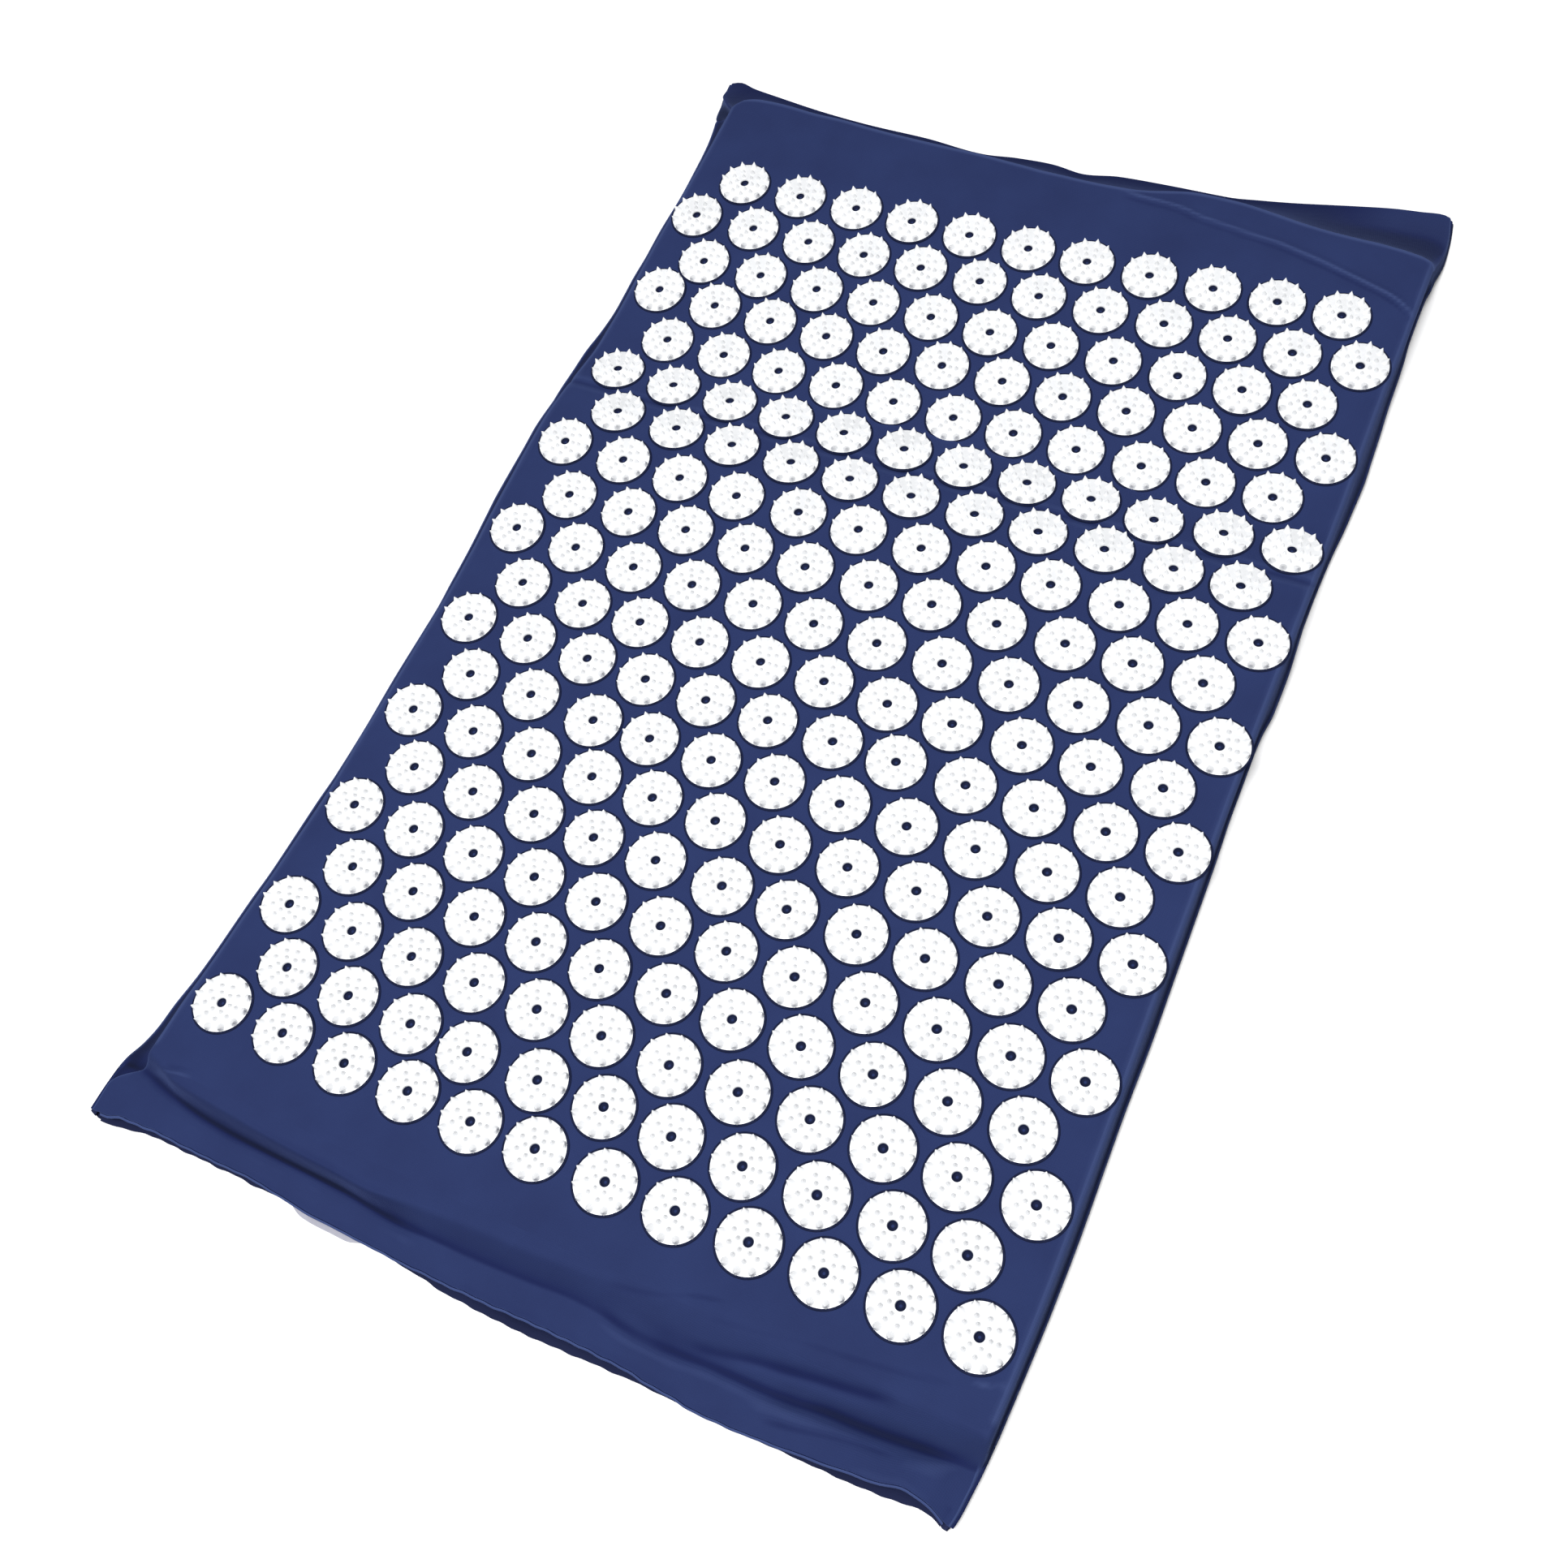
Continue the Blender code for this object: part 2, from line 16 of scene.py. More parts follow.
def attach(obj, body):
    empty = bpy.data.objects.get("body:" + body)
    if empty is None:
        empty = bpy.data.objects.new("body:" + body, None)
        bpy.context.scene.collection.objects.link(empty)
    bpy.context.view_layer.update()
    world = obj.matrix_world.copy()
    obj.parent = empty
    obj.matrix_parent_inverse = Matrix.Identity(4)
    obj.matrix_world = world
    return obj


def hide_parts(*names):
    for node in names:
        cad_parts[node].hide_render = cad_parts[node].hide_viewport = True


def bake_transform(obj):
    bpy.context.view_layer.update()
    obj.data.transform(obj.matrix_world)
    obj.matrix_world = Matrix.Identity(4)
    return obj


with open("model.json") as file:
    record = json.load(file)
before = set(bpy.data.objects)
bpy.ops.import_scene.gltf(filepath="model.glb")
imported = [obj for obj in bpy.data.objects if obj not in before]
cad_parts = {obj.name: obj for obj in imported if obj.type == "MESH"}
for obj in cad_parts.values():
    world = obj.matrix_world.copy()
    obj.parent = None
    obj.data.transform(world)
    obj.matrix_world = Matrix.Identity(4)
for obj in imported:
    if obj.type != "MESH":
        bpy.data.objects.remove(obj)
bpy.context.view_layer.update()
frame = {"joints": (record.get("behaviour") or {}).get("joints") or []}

JOINTS = {joint["name"]: joint for joint in frame["joints"]}
FOLD_X, FOLD_Y, _ = JOINTS["mat_fold"]["pos_m"]

# Sizes of the mat, in its own lines
TOP = 0.0202
FOAM_HALF = 0.2045
FOAM_CUT = 0.0024
FOAM_NEAR = -0.417
FOAM_FAR = 0.208
EDGE = 0.2063
SHOULDER = 0.003
SEAM_Z = 0.005
HINGE_Y = -0.42
END_ZONE_Y = 0.186
CLOTH = 0.0008
PLY_GAP = 0.00025

# Foam in the cover: gaps to the cloth, and the line beyond which its underside stays level
FOAM_TOP_GAP = 0.0014
FOAM_BOTTOM_GAP = 0.0011
FOAM_SIDE_GAP = 0.0018
FOAM_END_GAP = 0.0025
FOAM_LEVEL_Y = 0.2
FOAM_COLUMNS = 82
FOAM_END_ROWS = 11

# Upper panel: turned-in edges at its seams, edges off the foam, zones of its rows, far flap
SEAM_TURN_IN = (0.0032, 0.0012)
SEAM_TURN_DOWN = (0.0009, 0.0006)
WALL_PULL_SHARES = (0.75, 0.25)
FLAT_EDGE_IN = 0.0012
FLAT_SHOULDER = 0.001
MOUTH_DROP_LENGTH = 0.019
LIP_SEAM_Z = 0.0048
LIP_END_Y = -0.4485
CLOSE_ZONE_Y = -0.409
FOLD_ZONE = 0.012
FAR_ZONE_Y = 0.15
FLAP_PULL = 0.024
FLAP_SEAM_Y = 0.247
FLAP_DROP_SHARE = 0.62
FLAP_SEAM_SHARE = 0.65
LIP_ROWS = 45
END_ROWS = 19
RIM_ROWS = 7
FLAP_ROWS = 26

# Lower panel: toes up to its seams, seam heights, lip and far end
TOE = 0.004
TOE_SHARES = (0.0, 0.25, 0.55, 0.8)
TOE_TURN_IN = (0.0035, 0.001)
TOE_TURN_UP = 0.0004
LOWER_INSET = 0.0002
LOWER_LIP_Y = -0.4525
LOWER_END_Y = 0.25
LOWER_LIP_Z = 0.0026
LOWER_SEAM_Z = 0.0028
LOWER_END_Z = 0.0012
LOWER_LIP_ROWS = 16
LOWER_END_ROWS = 24
SETTLE_Y = 0.2085
SETTLE_LENGTH = 0.02
LIP_LIFT = 0.0008
LIP_LIFT_WAVE = 0.0005
LIP_LIFT_WAVE_LENGTH = 0.09
LIP_LIFT_LENGTH = 0.02

# Seam plies inside the cover: places, widths and heights
LEFT_PLIES_IN = 0.0024
LEFT_PLIES_WIDTH = 0.007
LEFT_PLIES_HEIGHTS = (0.0044, 0.0056)
RIGHT_PLIES_WIDTH = 0.0008
RIGHT_PLIES_HEIGHTS = (0.0022, 0.0082)
PLIES_GAP = 0.0002
PLIES_END_GAP = 0.006
SIDE_PLIES_COLUMNS = 4
END_PLIES_SPAN = (-0.222, 0.19)
END_PLIES_REACH = (0.013, 0.0015)
END_PLIES_GAP = 0.0003
END_PLIES_THICKNESS = 0.0014
END_PLIES_COLUMNS = 120

# Hems and closure tapes of the lips: span across the mat, reach in from the lip's edge
UPPER_HEM_SPAN = (-0.229, 0.1955)
LOWER_HEM_SPAN = (-0.229, 0.1945)
UPPER_HEM_REACH = (-0.0004, 0.013)
LOWER_HEM_REACH = (-0.0004, 0.017)
HEM_ROLL_RADIUS = 0.0009
HEM_ROLL_INNER_SHARE = 0.15
HEM_LIFT = 0.0006
HEM_DIP = 0.0003
HEM_ROLL_STEPS = 9
HEM_COLUMNS = 200
HEM_ROWS = 12
TAPE_SPAN = (-0.196, 0.164)
HOOK_REACH = (0.002, 0.0125)
LOOP_REACH = (0.006, 0.0165)
TAPE_THICKNESS = 0.001
TAPE_COLUMNS = 160
TAPE_ROWS = 6

# Grid steps of the cloth
STEP_X = 0.0026
STEP_Y = 0.0026
STEP_FOLD = 0.001
STEP_FAR = 0.0013
STEP_LIP = 0.0013
WALL_STEPS = 9
ARC_STEPS = 6
BEND_RADIUS = 0.004
TINY_LENGTH = 1e-12
TINY_AREA = 1e-9

# How the mat lies: height change of its top face along y, over the near and far section
LIE_POINTS = (
    (-0.420, 0.0), (-0.115, 0.0), (-0.0863, 0.0015), (-0.0577, 0.0025), (-0.029, 0.003),
    (0.0, -0.001), (0.029, -0.0054), (0.0577, -0.0042), (0.0863, -0.0015), (0.115, 0.0009),
    (0.1436, 0.0029), (0.1722, 0.0045), (0.27, 0.0045),
)
FAR_RAISE = LIE_POINTS[-1][1]
LIE_SOFTNESS = 0.005
LIE_SAMPLES = 7
FOLD_CREASE = 0.0008
FOLD_CREASE_WIDTH = 0.0025

# Seams along the two sides and edges of the top face above them, x against y
LEFT_SEAM_POINTS = (
    (-0.452, -0.236), (-0.435, -0.2354), (-0.422, -0.2335), (-0.413, -0.2298), (-0.405, -0.2277),
    (-0.39, -0.226), (-0.375, -0.2236), (-0.36, -0.2221), (-0.345, -0.2211), (-0.33, -0.2201),
    (-0.315, -0.2187), (-0.3, -0.2179), (-0.285, -0.2173), (-0.27, -0.2166), (-0.255, -0.2156),
    (-0.225, -0.2152), (-0.195, -0.2157), (-0.165, -0.2154), (-0.15, -0.2153), (-0.135, -0.2161),
    (-0.12, -0.2168), (-0.105, -0.2174), (-0.09, -0.2182), (-0.075, -0.219), (-0.045, -0.2193),
    (-0.015, -0.2204), (0.0, -0.2205), (0.015, -0.2198), (0.03, -0.2192), (0.045, -0.2173),
    (0.06, -0.2163), (0.075, -0.2168), (0.09, -0.2175), (0.12, -0.2175), (0.15, -0.2163),
    (0.165, -0.2165), (0.18, -0.2172), (0.195, -0.2188), (0.21, -0.222), (0.225, -0.2275),
    (0.24, -0.2312), (0.252, -0.2318),
)
RIGHT_SEAM_POINTS = (
    (-0.457, 0.1955), (-0.45, 0.1992), (-0.435, 0.2022), (-0.42, 0.2038), (-0.405, 0.2045), (-0.39, 0.2051),
    (-0.36, 0.206), (-0.33, 0.2062), (-0.3, 0.2057), (-0.27, 0.2053), (-0.24, 0.2055), (-0.21, 0.205),
    (-0.18, 0.2045), (-0.15, 0.204), (-0.12, 0.2031), (-0.09, 0.2031), (-0.078, 0.2036), (-0.066, 0.205),
    (-0.045, 0.2051), (-0.03, 0.2044), (-0.015, 0.2036), (0.0, 0.2035), (0.015, 0.2038), (0.03, 0.2044),
    (0.045, 0.2055), (0.06, 0.2061), (0.075, 0.2066), (0.09, 0.206), (0.105, 0.2055), (0.12, 0.2048),
    (0.15, 0.2041), (0.165, 0.2032), (0.18, 0.2031), (0.195, 0.2032), (0.21, 0.2044), (0.225, 0.2054),
    (0.24, 0.2043), (0.255, 0.2012),
)
LEFT_EDGE_POINTS = (
    (-0.45, -0.2165), (-0.42, -0.216), (-0.405, -0.2152), (-0.39, -0.2145), (-0.375, -0.213),
    (-0.345, -0.2108), (-0.315, -0.2085), (-0.285, -0.2068), (-0.255, -0.206), (-0.165, -0.206),
    (-0.135, -0.2065), (-0.105, -0.2078), (-0.075, -0.2085), (-0.045, -0.2093), (-0.015, -0.2098),
    (0.015, -0.2095), (0.045, -0.209), (0.075, -0.2086), (0.105, -0.2084), (0.135, -0.2076),
    (0.165, -0.2074), (0.195, -0.2082), (0.215, -0.2088),
)
RIGHT_EDGE_POINTS = (
    (-0.457, 0.1945), (-0.42, 0.2025), (-0.39, 0.2036), (-0.36, 0.204), (-0.3, 0.2036), (-0.24, 0.2028),
    (-0.18, 0.2025), (-0.12, 0.2022), (-0.09, 0.2022), (-0.06, 0.2026), (-0.03, 0.2028), (0.0, 0.2027),
    (0.03, 0.2024), (0.06, 0.2025), (0.09, 0.2022), (0.12, 0.2022), (0.15, 0.2026), (0.18, 0.2026),
    (0.21, 0.2026),
)

# Mouth: start and foot of the slope off the foam, edges of both lips, y against x
SLOPE_POINTS = (
    (-0.236, -0.412), (-0.2128, -0.4161), (-0.204, -0.42), (-0.1965, -0.4232), (-0.1648, -0.426),
    (-0.1335, -0.4289), (-0.104, -0.4303), (-0.084, -0.4312), (-0.0595, -0.428), (-0.0338, -0.4255),
    (-0.0079, -0.4245), (0.0175, -0.423), (0.037, -0.4205), (0.06, -0.4175), (0.09, -0.4155), (0.13, -0.415),
    (0.165, -0.4155), (0.19, -0.4165), (0.206, -0.4175),
)
FOOT_POINTS = (
    (-0.236, -0.4225), (-0.2246, -0.4235), (-0.215, -0.4255), (-0.1984, -0.429), (-0.1758, -0.4325),
    (-0.1546, -0.434), (-0.135, -0.4345), (-0.1158, -0.4348), (-0.0964, -0.4355), (-0.0826, -0.437),
    (-0.0612, -0.4385), (-0.034, -0.4385), (0.0, -0.4375), (0.0175, -0.4365), (0.053, -0.4385),
    (0.071, -0.4385), (0.106, -0.438), (0.1376, -0.4365), (0.1512, -0.436), (0.1733, -0.434),
    (0.186, -0.4325), (0.2, -0.431),
)
UPPER_EDGE_POINTS = (
    (-0.2375, -0.4492), (-0.2265, -0.4489), (-0.2165, -0.4468), (-0.2, -0.4463), (-0.1683, -0.4467),
    (-0.1445, -0.4469), (-0.1239, -0.4484), (-0.1075, -0.45), (-0.0784, -0.4509), (-0.0445, -0.4521),
    (-0.0145, -0.4518), (0.0205, -0.4514), (0.0432, -0.4516), (0.062, -0.4531), (0.0948, -0.4553),
    (0.1168, -0.4545), (0.1381, -0.4527), (0.1668, -0.4502), (0.179, -0.4482), (0.1893, -0.4499),
    (0.1965, -0.454),
)
LOWER_EDGE_POINTS = (
    (-0.2385, -0.4497), (-0.23, -0.4517), (-0.2165, -0.4508), (-0.204, -0.4484), (-0.19, -0.4482),
    (-0.178, -0.4485), (-0.1548, -0.4486), (-0.14, -0.4489), (-0.125, -0.4489), (-0.11, -0.4489),
    (-0.095, -0.4497), (-0.08, -0.4505), (-0.07, -0.452), (-0.058, -0.4528), (-0.048, -0.454),
    (-0.034, -0.4556), (-0.002, -0.4566), (0.034, -0.4557), (0.06, -0.455), (0.092, -0.4553),
    (0.13, -0.4549), (0.1586, -0.4543), (0.175, -0.4533), (0.1884, -0.4524), (0.1957, -0.4557),
)
UPPER_EDGE_HEIGHTS = (
    (-0.236, 0.0052), (-0.215, 0.0085), (-0.195, 0.0092), (-0.152, 0.009), (-0.1, 0.0086), (-0.04, 0.0088),
    (0.02, 0.0088), (0.09, 0.0088), (0.14, 0.0098), (0.176, 0.0118), (0.188, 0.0095), (0.196, 0.006),
)
FOOT_HEIGHTS = (
    (-0.236, 0.006), (-0.2246, 0.0085), (-0.212, 0.0105), (-0.16, 0.0108), (-0.1, 0.0106), (-0.03, 0.0108),
    (0.06, 0.0112), (0.127, 0.0105), (0.165, 0.0085), (0.185, 0.0088), (0.2, 0.006),
)

# Far end: rim of the top face and the sewn edge beyond it, y against x
RIM_POINTS = (
    (-0.2085, 0.2085), (-0.2063, 0.211), (-0.2035, 0.2148), (-0.199, 0.217), (-0.192, 0.2183),
    (-0.181, 0.2185), (-0.1675, 0.2178), (-0.1565, 0.2167), (-0.137, 0.216), (-0.122, 0.2147),
    (-0.1037, 0.2137), (-0.0847, 0.2132), (-0.066, 0.2127), (-0.0473, 0.2121), (-0.0287, 0.211),
    (-0.0103, 0.2099), (0.0229, 0.2096), (0.036, 0.21), (0.047, 0.2118), (0.057, 0.2145), (0.066, 0.2167),
    (0.076, 0.2175), (0.094, 0.2172), (0.1058, 0.216), (0.1174, 0.2141), (0.129, 0.2122), (0.1457, 0.2104),
    (0.162, 0.2095), (0.178, 0.2088), (0.189, 0.2075), (0.1975, 0.2055), (0.201, 0.2036), (0.2035, 0.2005),
)
END_EDGE_POINTS = (
    (-0.232, 0.247), (-0.2255, 0.25), (-0.2144, 0.2475), (-0.1966, 0.2448), (-0.1663, 0.2407),
    (-0.1346, 0.2382), (-0.0964, 0.2372), (-0.0573, 0.2345), (-0.0393, 0.2368), (-0.0174, 0.2375),
    (0.0, 0.2352), (0.0209, 0.2388), (0.0493, 0.24), (0.0829, 0.2405), (0.0994, 0.2428), (0.1188, 0.2462),
    (0.1357, 0.2498), (0.1524, 0.2534), (0.1712, 0.257), (0.1839, 0.2584), (0.1966, 0.2595), (0.206, 0.254),
)
EDGE_WAVE = 0.00022
EDGE_WAVE_LENGTH = 0.012
EDGE_WAVE_COUNT = 6
RIM_RADIUS = 0.0022
RIM_TURN = math.radians(72)
END_Z = 0.0036

# The blank label under the edge of the upper lip
LABEL_LEFT = -0.1265
LABEL_RIGHT = -0.0785
LABEL_REACH = 0.0034
LABEL_CORNER = 0.012
LABEL_LENGTH = 0.0157
LABEL_DROOP = 0.0009
LABEL_GAP = 0.0001
LABEL_THICKNESS = 0.0003
LABEL_COLUMNS = 32
LABEL_ROWS = 10

# Discs
DISC_RADIUS = 0.0142
DISC_PLATE = 0.0012
DISC_FOOT = 0.0125
DISC_RAISE = 0.0005
DISC_BEVEL = 0.0006
DISC_UNDERCUT = 0.0004
DISC_RIM_STEP = 0.0001
DISC_RIM_WIDTH = 0.0016
HOLE_RADIUS = 0.0023
COLLAR_FOOT = 0.0011
COLLAR_OUTER = 0.0006
COLLAR_INNER = 0.0002
COLLAR_RISE = 0.0003
PITCH = 0.034
FIRST_ROW = 0.0147
ROW_STEP = 0.0286337
ROWS_FAR = 6
ROWS_NEAR = 14
SHORT_ROW = 11
LONG_ROW = 12
DISC_SEGMENTS = 48
SHARP_ANGLE = math.radians(38)
TANGENT_STEP = 0.008
SPIKE_SIDES = 8
SPIKE_TIP = 0.0038
ROW_HALF = 0.187

# Dark glue, which also stands for painted shade: a ring in the hole round a bare spot of cloth, and a line
# round the plate that is also a painted contact shadow
HOLE_GLUE_SHADE_GAP = 0.0001
HOLE_GLUE_SHADE_TOP = 0.0004
HOLE_GLUE_SHADE_FOOT = 0.0008
HOLE_GLUE_SHADE_HEIGHT = 0.0009
HOLE_GLUE_SHADE_STEP = 0.0003
BARE_RADIUS = 0.0007
BARE_HEIGHT = 0.00015
GLUE_SHADOW_RADIUS = 0.0153
GLUE_SHADOW_EDGE = 0.0002
GLUE_SHADOW_LOW = 0.0001
GLUE_SHADOW_HIGH = 0.0003

# Spikes of a disc by circle: count, radius of their feet, radius of their tips, size of a foot
SPIKE_CIRCLES = ((12, 0.0118, 0.0139, 0.0026), (9, 0.0082, 0.0082, 0.0018), (6, 0.0048, 0.0048, 0.0016))
SPIKE_PROFILE_SHARES = ((0.0, 1.0), (0.2, 0.74), (0.45, 0.5), (0.75, 0.24), (0.95, 0.07))

# How far the discs sit from an even pattern, against y: sway of the rows along x, shift of their
# middle and ends along y, and how much they are drawn out along x
SWAY_POINTS = (
    (-0.387, -0.0033), (-0.358, -0.0016), (-0.33, -0.0002), (-0.272, 0.0011), (-0.215, 0.0021),
    (-0.158, 0.0028), (-0.1, 0.0016), (-0.043, 0.0011), (0.0147, 0.0007), (0.043, 0.0),
    (0.072, -0.0008), (0.158, -0.0016),
)
MIDDLE_SHIFT_POINTS = (
    (-0.387, -0.0009), (-0.015, -0.0009), (0.0147, -0.0014), (0.072, -0.0014), (0.1, -0.0027),
    (0.158, -0.0027),
)
LEFT_SHIFT_POINTS = (
    (-0.387, 0.0036), (-0.33, 0.0016), (-0.015, 0.0012), (0.0147, 0.001), (0.072, 0.001),
    (0.1, -0.0026), (0.158, -0.0027),
)
RIGHT_SHIFT_POINTS = (
    (-0.387, 0.0022), (-0.2, 0.0012), (-0.015, 0.0008), (0.0147, 0.0013), (0.072, 0.0013),
    (0.1, 0.0008), (0.158, 0.0004),
)
STRETCH_POINTS = (
    (-0.387, 0.0013), (-0.358, 0.0004), (-0.33, 0.0001), (-0.3, -0.0004), (-0.27, -0.0003),
    (-0.245, -0.0009), (-0.215, -0.0009), (-0.187, -0.0008), (-0.158, -0.0009), (-0.13, -0.0008),
    (-0.1, 0.0001), (-0.043, 0.0004), (-0.0147, 0.0003), (0.0147, -0.001), (0.043, -0.0011), (0.072, 0.0),
    (0.1, 0.0003), (0.158, 0.0006),
)
LEFT_STRAY = 0.0022
RIGHT_STRAY = 0.0008
STRAY_START_SHARE = 0.75
DISC_WANDER = 0.0003
DISC_SPIN = math.radians(3)
DISC_SEAT = 0.0002
STRAY_DISCS = {
    (6, 9): (0.0, -0.0032), (12, 7): (-0.0011, 0.0006), (13, 2): (0.0029, -0.0008),
    (19, 3): (-0.002, -0.0016), (20, 5): (-0.0011, 0.001),
}

# Floor under the mat; far out it turns white for the camera
FLOOR_HALF = 1.4
FLOOR_GAP = 0.0002
FLOOR_FADE_START = 0.55
FLOOR_FADE_END = 0.95

# Painted light on the cloth: how much lighter its painted highlights are, in red, green and blue, and how
# dark its painted shade is in folds and in deeper shade
HIGHLIGHT_SHARES = (2.1, 1.9, 1.5)
FOLD_SHADE_SHARES = (0.4, 0.46, 0.7)
DEEP_SHADE_SHARES = (0.17, 0.2, 0.26)

# Height of the fine relief in the materials
NAP_RELIEF = 0.0004
THREAD_RELIEF = 0.00015
DISC_RELIEF = 0.0002
PORE_RELIEF = 0.0006
TUFT_RELIEF = 0.0005
SATIN_RELIEF = 0.0001

# How strongly that relief shows
NAP_STRENGTH_SHARE = 0.35
THREAD_STRENGTH_SHARE = 0.5
DISC_STRENGTH_SHARE = 0.15
PORE_STRENGTH_SHARE = 0.8
TUFT_STRENGTH_SHARE = 0.8
SATIN_STRENGTH_SHARE = 0.3

# How sharply the cloth bends, with the painted lines added, where its painted highlight or painted shade
# begins, is full, and is deepest
PAINTED_TONE_START = 0.12
PAINTED_TONE_FULL = 1.0
PAINTED_TONE_DEEP = 2.0

# Colours in pairs, which the materials mix, in red, green and blue
WHITE = (1.0, 1.0, 1.0)
SHEEN_COLOUR = (0.25, 0.35, 0.8)
UPPER_COLOURS = ((0.0143, 0.0238, 0.085), (0.0172, 0.0292, 0.1))
# The lower panel's navy is a darker copy of the upper one: painted shade for where it lies under the upper
# panel
LOWER_SHADED_COLOURS = ((0.006, 0.009, 0.034), (0.0085, 0.0125, 0.046))
HEM_COLOURS = ((0.0165, 0.0275, 0.094), (0.019, 0.032, 0.11))
DISC_COLOURS = ((0.72, 0.73, 0.74), (0.79, 0.8, 0.81))
GLUE_AND_SHADE_COLOURS = ((0.005, 0.008, 0.028), (0.009, 0.013, 0.042))
FOAM_COLOURS = ((0.42, 0.42, 0.4), (0.66, 0.66, 0.63))
HOOK_COLOURS = ((0.01, 0.014, 0.05), (0.03, 0.04, 0.1))
LOOP_COLOURS = ((0.012, 0.016, 0.055), (0.025, 0.033, 0.09))
LABEL_COLOURS = ((0.33, 0.33, 0.39), (0.38, 0.38, 0.44))
FLOOR_COLOURS = ((0.12, 0.12, 0.12), (0.95, 0.95, 0.95))
SKY_COLOURS = ((0.16, 0.16, 0.17), WHITE)

# Sockets of the node that mixes two colours
MIX_FIRST = 6
MIX_SECOND = 7
MIX_RESULT = 2

# Wrinkles of the top face and the lip: heights, widths and lengths
RIDGE_FADE = 0.014
RIDGE_STEP = 0.0005
CORNER_RIDGE_SIZE = (0.0006, 0.0015)
CORNER_SHADOW_SIZE = (-0.0002, 0.0022)
CORNER_SHADOW = 0.0036
LONG_WAVE = (0.00012, 0.05)
SHORT_WAVE = (0.00006, 0.016)
LIP_WAVE = (0.0003, 0.035)
LIP_WAVE_FADE = 0.01
WAVE_COUNT = 14
WAVE_LENGTH_SHARES = (0.6, 1.8)

# Places and widths of the painted highlights and painted shade on the upper panel
RIM_HIGHLIGHT_WIDTH = 0.0013
CORNER_LIGHT_SHADE_WIDTHS = (0.0011, 0.0018)
SLOPE_HIGHLIGHT_LEAD = 0.006
SLOPE_HIGHLIGHT_FADE = 0.004
FOOT_HIGHLIGHT_FADE = 0.003
FLAP_LIGHT_X = 0.13
FLAP_LIGHT_FADE = 0.05

# Lamps: place, size across and power
KEY_PLACE = (0.15, -0.85, 2.6)
KEY_SIZE = 1.4
KEY_POWER = 92.0
FILL_PLACE = (-0.5, 0.3, 2.6)
FILL_SIZE = 1.8
FILL_POWER = 12.0

# Camera in the row frame, fitted to the photograph's viewing angle
CAMERA_PLACE = (0.27131, -0.38303, 0.74142)
CAMERA_RIGHT = (0.8999, 0.4114, -0.1451)
CAMERA_UP = (-0.30917, 0.83618, 0.45300)
CAMERA_BACK = (0.30768, -0.36277, 0.87962)
LENS_MM = 39.92
SENSOR_MM = 36.0
CLIP_START = 0.01

SEED = 7


def lerp(low, high, share):
    return low + (high - low) * share


def ease(share):
    """Goes smoothly from 0 to 1 and stays level beyond both."""
    inside = np.clip(share, 0.0, 1.0)
    return inside * inside * (3.0 - 2.0 * inside)


def cubic_shares(share):
    """What a cubic takes at a share of its way: of its start, its end and the pulls at both."""
    square = share * share
    cube = square * share
    return 2 * cube - 3 * square + 1, 3 * square - 2 * cube, cube - 2 * square + share, cube - square


def curve(points, at):
    """A smooth line through (place, value) points, level beyond its ends."""
    places = np.array([place for place, _ in points])
    values = np.array([value for _, value in points])
    rises = np.diff(values) / np.diff(places)
    steepest = 2 * np.minimum(np.abs(np.append(rises[:1], rises)), np.abs(np.append(rises, rises[-1:])))
    slopes = np.clip(np.gradient(values, places), -steepest, steepest)
    at = np.asarray(at, float)
    index = np.clip(np.searchsorted(places, at) - 1, 0, len(places) - 2)
    span = places[index + 1] - places[index]
    first, last, first_pull, last_pull = cubic_shares(np.clip((at - places[index]) / span, 0.0, 1.0))
    value = first * values[index] + last * values[index + 1]
    return value + span * (first_pull * slopes[index] + last_pull * slopes[index + 1])


def lines_between(start, stop, step):
    count = max(1, round(abs(stop - start) / step))
    return np.linspace(start, stop, count + 1)


# How the top face lies

def wavy_edge(points, x, seed):
    return curve(points, x) + EDGE_WAVE * waves(x, 0.0, seed, EDGE_WAVE_LENGTH, EDGE_WAVE_COUNT)


def upper_edge(x):
    return wavy_edge(UPPER_EDGE_POINTS, x, SEED + 3)


def lower_edge(x):
    return wavy_edge(LOWER_EDGE_POINTS, x, SEED + 4)


def lie(y):
    """Height change of the top face along y, softened, with the crease of the fold line."""
    y = np.asarray(y, float)
    total = np.zeros_like(y)
    offsets = np.linspace(-LIE_SOFTNESS, LIE_SOFTNESS, LIE_SAMPLES)
    places = [place for place, _ in LIE_POINTS]
    values = [value for _, value in LIE_POINTS]
    for offset in offsets:
        total = total + np.interp(y + offset, places, values)
    crease = FOLD_CREASE * np.exp(-((y / FOLD_CREASE_WIDTH) ** 2))
    return total / len(offsets) - crease


def ridge(x, y, line, height, width):
    """A soft ridge, or a valley where height is negative, along a line of (x, y) points."""
    places = [place for place, _ in line]
    middle = curve(line, x)
    rise = (curve(line, x + RIDGE_STEP) - curve(line, x - RIDGE_STEP)) / (2 * RIDGE_STEP)
    distance = (y - middle) / np.sqrt(1 + rise * rise)
    along = ease((x - places[0]) / RIDGE_FADE) * ease((places[-1] - x) / RIDGE_FADE)
    return height * along * np.exp(-((distance / width) ** 2))


def waves(x, y, seed, length, count=WAVE_COUNT):
    """A gentle random relief with values around -1 to 1, repeatable by its seed."""
    numbers = np.random.default_rng(seed)
    total = np.zeros_like(np.asarray(x, float) + np.asarray(y, float))
    for _ in range(count):
        angle = numbers.uniform(0, 2 * math.pi)
        size = length * numbers.uniform(*WAVE_LENGTH_SHARES)
        phase = numbers.uniform(0, 2 * math.pi)
        total = total + np.sin((x * math.cos(angle) + y * math.sin(angle)) * 2 * math.pi / size + phase)
    return total / math.sqrt(count)


